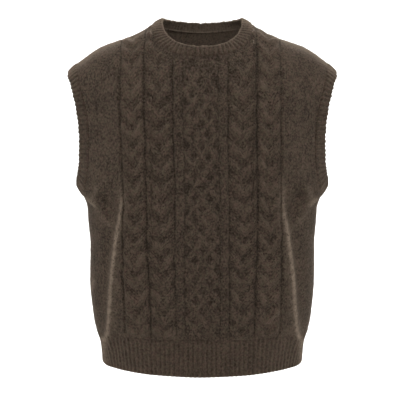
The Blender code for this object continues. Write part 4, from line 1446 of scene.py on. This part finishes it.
# %% Node helpers
def new_group(name, inputs, outputs):
    """An empty shader node group with its named sockets."""
    group = bpy.data.node_groups.new(name, "ShaderNodeTree")
    for label, kind, value in inputs:
        socket = group.interface.new_socket(label, in_out="INPUT", socket_type=kind)
        if value is not None:
            socket.default_value = value
    for label, kind in outputs:
        group.interface.new_socket(label, in_out="OUTPUT", socket_type=kind)
    return group, group.nodes.new("NodeGroupInput"), group.nodes.new("NodeGroupOutput")


def math_node(group, operation, first, second=None, third=None, clamp=False):
    """A Math node whose inputs are sockets or numbers. Returns its output."""
    node = group.nodes.new("ShaderNodeMath")
    node.operation = operation
    node.use_clamp = clamp
    for place, value in enumerate((first, second, third)):
        if value is None:
            continue
        if isinstance(value, bpy.types.NodeSocket):
            group.links.new(value, node.inputs[place])
        else:
            node.inputs[place].default_value = value
    return node.outputs[0]


def colour_mix(group, share, first, second):
    """A blend of two colours."""
    node = group.nodes.new("ShaderNodeMix")
    node.data_type = "RGBA"
    group.links.new(share, node.inputs["Factor"])
    group.links.new(first, node.inputs["A"])
    group.links.new(second, node.inputs["B"])
    return node.outputs["Result"]


def noise_node(group, vector, scale, detail):
    """A Noise texture's value, between 0 and 1."""
    node = group.nodes.new("ShaderNodeTexNoise")
    group.links.new(vector, node.inputs["Vector"])
    node.inputs["Scale"].default_value = scale
    node.inputs["Detail"].default_value = detail
    return node.outputs["Fac"]


print("helpers:", ", ".join(f.__name__ for f in (new_group, math_node, colour_mix, noise_node)))

# %% [markdown]
# ## The stitch group
#
# A knit stitch is a V: two legs that lean together at the bottom. Counted in stitches, the distance
# from the middle of the column says where across the leg a point lies, and the row, pushed up with
# that distance, says where along it. The product of two rounded profiles is the height of the yarn.
# Each leg also gets a number of its own, so that no two are quite the same brown.

# %% The stitch group
LEG_SLOPE = 1.7
LEG_ROUNDNESS = 2.2
END_ROUNDNESS = 3.0


def rounded(group, away, roundness):
    """1 in the middle of a profile, falling to 0 where away is 1."""
    return math_node(group, "SUBTRACT", 1.0, math_node(group, "POWER", away, roundness), clamp=True)


def stitch_group():
    """Height of the yarn in a knit stitch, and a number that differs from stitch to stitch."""
    group, given, out = new_group(
        "knit_stitch",
        [("Stitches", "NodeSocketVector", None)],
        [("Height", "NodeSocketFloat"), ("Own", "NodeSocketFloat")],
    )
    split = group.nodes.new("ShaderNodeSeparateXYZ")
    group.links.new(given.outputs["Stitches"], split.inputs[0])
    across, up = split.outputs["X"], split.outputs["Y"]
    column = math_node(group, "FRACT", across)
    from_middle = math_node(group, "ABSOLUTE", math_node(group, "SUBTRACT", column, 0.5))
    leg = math_node(group, "SUBTRACT", from_middle, 0.25)
    leg = math_node(group, "MULTIPLY", math_node(group, "ABSOLUTE", leg), 4.0)
    row = math_node(group, "SUBTRACT", up, math_node(group, "MULTIPLY", from_middle, LEG_SLOPE))
    along = math_node(group, "SUBTRACT", math_node(group, "FRACT", row), 0.5)
    along = math_node(group, "MULTIPLY", math_node(group, "ABSOLUTE", along), 2.0)
    across_leg, along_leg = rounded(group, leg, LEG_ROUNDNESS), rounded(group, along, END_ROUNDNESS)
    height = math_node(group, "MULTIPLY", across_leg, along_leg)
    group.links.new(height, out.inputs["Height"])
    cell = group.nodes.new("ShaderNodeCombineXYZ")
    half_column = math_node(group, "FLOOR", math_node(group, "MULTIPLY", across, 2.0))
    group.links.new(half_column, cell.inputs[0])
    group.links.new(math_node(group, "FLOOR", row), cell.inputs[1])
    chance = group.nodes.new("ShaderNodeTexWhiteNoise")
    chance.noise_dimensions = "2D"
    group.links.new(cell.outputs[0], chance.inputs["Vector"])
    group.links.new(chance.outputs["Value"], out.inputs["Own"])
    return group


STITCH = stitch_group()
print("nodes in the stitch group:", len(STITCH.nodes))

# %% [markdown]
# ## The heather group
#
# Noise of several sizes is added up: single fibres, tufts that lean both ways, patches and wide
# clouds. The sum says how much light fibre there is among the dark, and a slower noise says which
# of two light ones, a reddish or an olive brown. The painted shade lowers the sum between the
# strands and raises it on their backs, and where the cloth gets a painted highlight, the lightest
# tufts are drawn over everything else in a pale colour.

# %% The heather group
# how many waves of noise to a metre, and how much detail
FIBRE = (1500.0, 3.0)
TUFT = (560.0, 1.0)
PATCH = (270.0, 2.0)
CLOUD = (42.0, 2.0)
HUE = (210.0, 1.0)
TUFT_LENGTH = 2.3
TUFT_TILTS = (0.7, -0.6)
PAINTED_SHADE_SHARE = 0.27


def fibre_node(group, vector, tilt):
    """Noise drawn out into short fibres that lean to one side."""
    drawn = group.nodes.new("ShaderNodeMapping")
    drawn.vector_type = "TEXTURE"
    drawn.inputs["Rotation"].default_value = (0.0, tilt, 0.0)
    drawn.inputs["Scale"].default_value = (1.0, 1.0, TUFT_LENGTH)
    group.links.new(vector, drawn.inputs["Vector"])
    return noise_node(group, drawn.outputs["Vector"], *TUFT)


def heather_group():
    """Colour of a heather yarn from its dark and light fibres, with painted shade and painted
    highlights.
    """
    group, given, out = new_group(
        "heather",
        [
            ("Place", "NodeSocketVector", None),
            ("Own", "NodeSocketFloat", 0.5),
            ("Painted shade", "NodeSocketFloat", 0.0),
            ("Painted highlight", "NodeSocketFloat", 0.0),
            ("Mottle", "NodeSocketFloat", 1.0),
            ("Dark", "NodeSocketColor", (0.02, 0.015, 0.01, 1.0)),
            ("Light", "NodeSocketColor", (0.1, 0.08, 0.06, 1.0)),
            ("Other light", "NodeSocketColor", (0.1, 0.08, 0.06, 1.0)),
            ("Highlight colour", "NodeSocketColor", (0.24, 0.185, 0.138, 1.0)),
        ],
        [("Colour", "NodeSocketColor"), ("Fibre", "NodeSocketFloat")],
    )
    place = given.outputs["Place"]
    fibre = noise_node(group, place, *FIBRE)
    tuft = math_node(group, "MAXIMUM", *(fibre_node(group, place, tilt) for tilt in TUFT_TILTS))
    # each with its weight, and what brings its middle to about 0
    parts = (
        (noise_node(group, place, *PATCH), 1.6, -0.8),
        (tuft, 1.3, -0.74),
        (noise_node(group, place, *CLOUD), 0.7, -0.35),
        (given.outputs["Own"], 0.4, -0.2),
    )
    mixed = math_node(group, "MULTIPLY_ADD", fibre, 0.5, -0.25)
    for part, weight, middle in parts:
        weighed = math_node(group, "MULTIPLY_ADD", part, weight, middle)
        mixed = math_node(group, "ADD", mixed, weighed)
    mixed = math_node(group, "MULTIPLY", mixed, given.outputs["Mottle"])
    # painted shade: less light fibre where it is high, more where it is below 0
    painted_shade = math_node(group, "MULTIPLY", given.outputs["Painted shade"], PAINTED_SHADE_SHARE)
    mixed = math_node(group, "SUBTRACT", mixed, painted_shade)
    share = math_node(group, "ADD", mixed, 0.5, clamp=True)
    hue = noise_node(group, place, *HUE)
    hue = math_node(group, "MULTIPLY_ADD", hue, 4.0, -1.5, clamp=True)
    light = colour_mix(group, hue, given.outputs["Light"], given.outputs["Other light"])
    blend = colour_mix(group, share, given.outputs["Dark"], light)
    # painted highlight: the lightest tufts take the pale highlight colour
    painted_highlight = math_node(group, "MULTIPLY_ADD", tuft, 4.5, -1.5, clamp=True)
    painted_highlight = math_node(group, "MULTIPLY", painted_highlight, given.outputs["Painted highlight"], clamp=True)
    lifted = colour_mix(group, painted_highlight, blend, given.outputs["Highlight colour"])
    group.links.new(lifted, out.inputs["Colour"])
    group.links.new(fibre, out.inputs["Fibre"])
    return group


HEATHER = heather_group()
print("groups:", [g.name for g in bpy.data.node_groups])

# %% [markdown]
# ## The wool material
#
# The height of the stitches and of the single fibres goes through one Bump node. The shader's
# roughness is high, its reflection weak and its sheen soft, because wool scatters light in all
# directions. Where the cloth turns away from view, a Layer Weight node adds a painted sheen in the
# pale highlight colour. The ribs are tighter than the rest, so their stitches are flatter and their
# brown is more even.

# %% The wool material
DARK_FIBRE = (0.012, 0.0083, 0.0058)
RED_FIBRE = (0.112, 0.0715, 0.0550)
OLIVE_FIBRE = (0.096, 0.0740, 0.0505)
SHEEN_TINT = (1.0, 0.8, 0.6)
# how sharply the painted sheen gathers where the cloth turns away from view
SHEEN_EDGE_SHARPNESS = 6.0


def wool(name, mottle, stitch_depth):
    """A heather wool of dark fibres and two kinds of lighter ones."""
    material = bpy.data.materials.new(name)
    material.use_nodes = True
    tree = material.node_tree
    shader = tree.nodes["Principled BSDF"]
    shader.inputs["Roughness"].default_value = 0.92
    shader.inputs["Specular IOR Level"].default_value = 0.08
    shader.inputs["Sheen Weight"].default_value = 0.1
    shader.inputs["Sheen Roughness"].default_value = 0.45
    shader.inputs["Sheen Tint"].default_value = (*SHEEN_TINT, 1.0)
    counted = tree.nodes.new("ShaderNodeUVMap")
    counted.uv_map = "stitches"
    place = tree.nodes.new("ShaderNodeTexCoord")
    painted_shade = tree.nodes.new("ShaderNodeAttribute")
    painted_shade.attribute_name = "painted_shade"
    painted_highlight = tree.nodes.new("ShaderNodeAttribute")
    painted_highlight.attribute_name = "painted_highlight"
    stitch = tree.nodes.new("ShaderNodeGroup")
    stitch.node_tree = STITCH
    heather = tree.nodes.new("ShaderNodeGroup")
    heather.node_tree = HEATHER
    fibres = (("Dark", DARK_FIBRE), ("Light", RED_FIBRE), ("Other light", OLIVE_FIBRE))
    for label, colour in fibres:
        heather.inputs[label].default_value = (*colour, 1.0)
    heather.inputs["Mottle"].default_value = mottle
    tree.links.new(counted.outputs["UV"], stitch.inputs["Stitches"])
    tree.links.new(place.outputs["Object"], heather.inputs["Place"])
    tree.links.new(stitch.outputs["Own"], heather.inputs["Own"])
    tree.links.new(painted_shade.outputs["Fac"], heather.inputs["Painted shade"])
    # painted sheen where the cloth turns away from view, added to the painted highlight
    edge_on = tree.nodes.new("ShaderNodeLayerWeight")
    edge_on.inputs["Blend"].default_value = 0.5
    painted_sheen = math_node(tree, "POWER", edge_on.outputs["Facing"], SHEEN_EDGE_SHARPNESS)
    tree.links.new(math_node(tree, "ADD", painted_sheen, painted_highlight.outputs["Fac"]), heather.inputs["Painted highlight"])
    tree.links.new(heather.outputs["Colour"], shader.inputs["Base Color"])
    fibre, yarn = heather.outputs["Fibre"], stitch.outputs["Height"]
    height = math_node(tree, "MULTIPLY_ADD", fibre, 0.5, yarn)
    bump = tree.nodes.new("ShaderNodeBump")
    bump.inputs["Strength"].default_value = 1.0
    bump.inputs["Distance"].default_value = stitch_depth
    tree.links.new(height, bump.inputs["Height"])
    tree.links.new(bump.outputs["Normal"], shader.inputs["Normal"])
    return material


knit_wool = wool("heather_wool", mottle=1.0, stitch_depth=0.0014)
rib_wool = wool("heather_wool_rib", mottle=0.62, stitch_depth=0.0009)
for piece in (front, back):
    piece.data.materials.append(knit_wool)
for piece in (hem_front, hem_back, neckband, *arm_ribs):
    piece.data.materials.append(rib_wool)
print("materials:", knit_wool.name, "and", rib_wool.name)
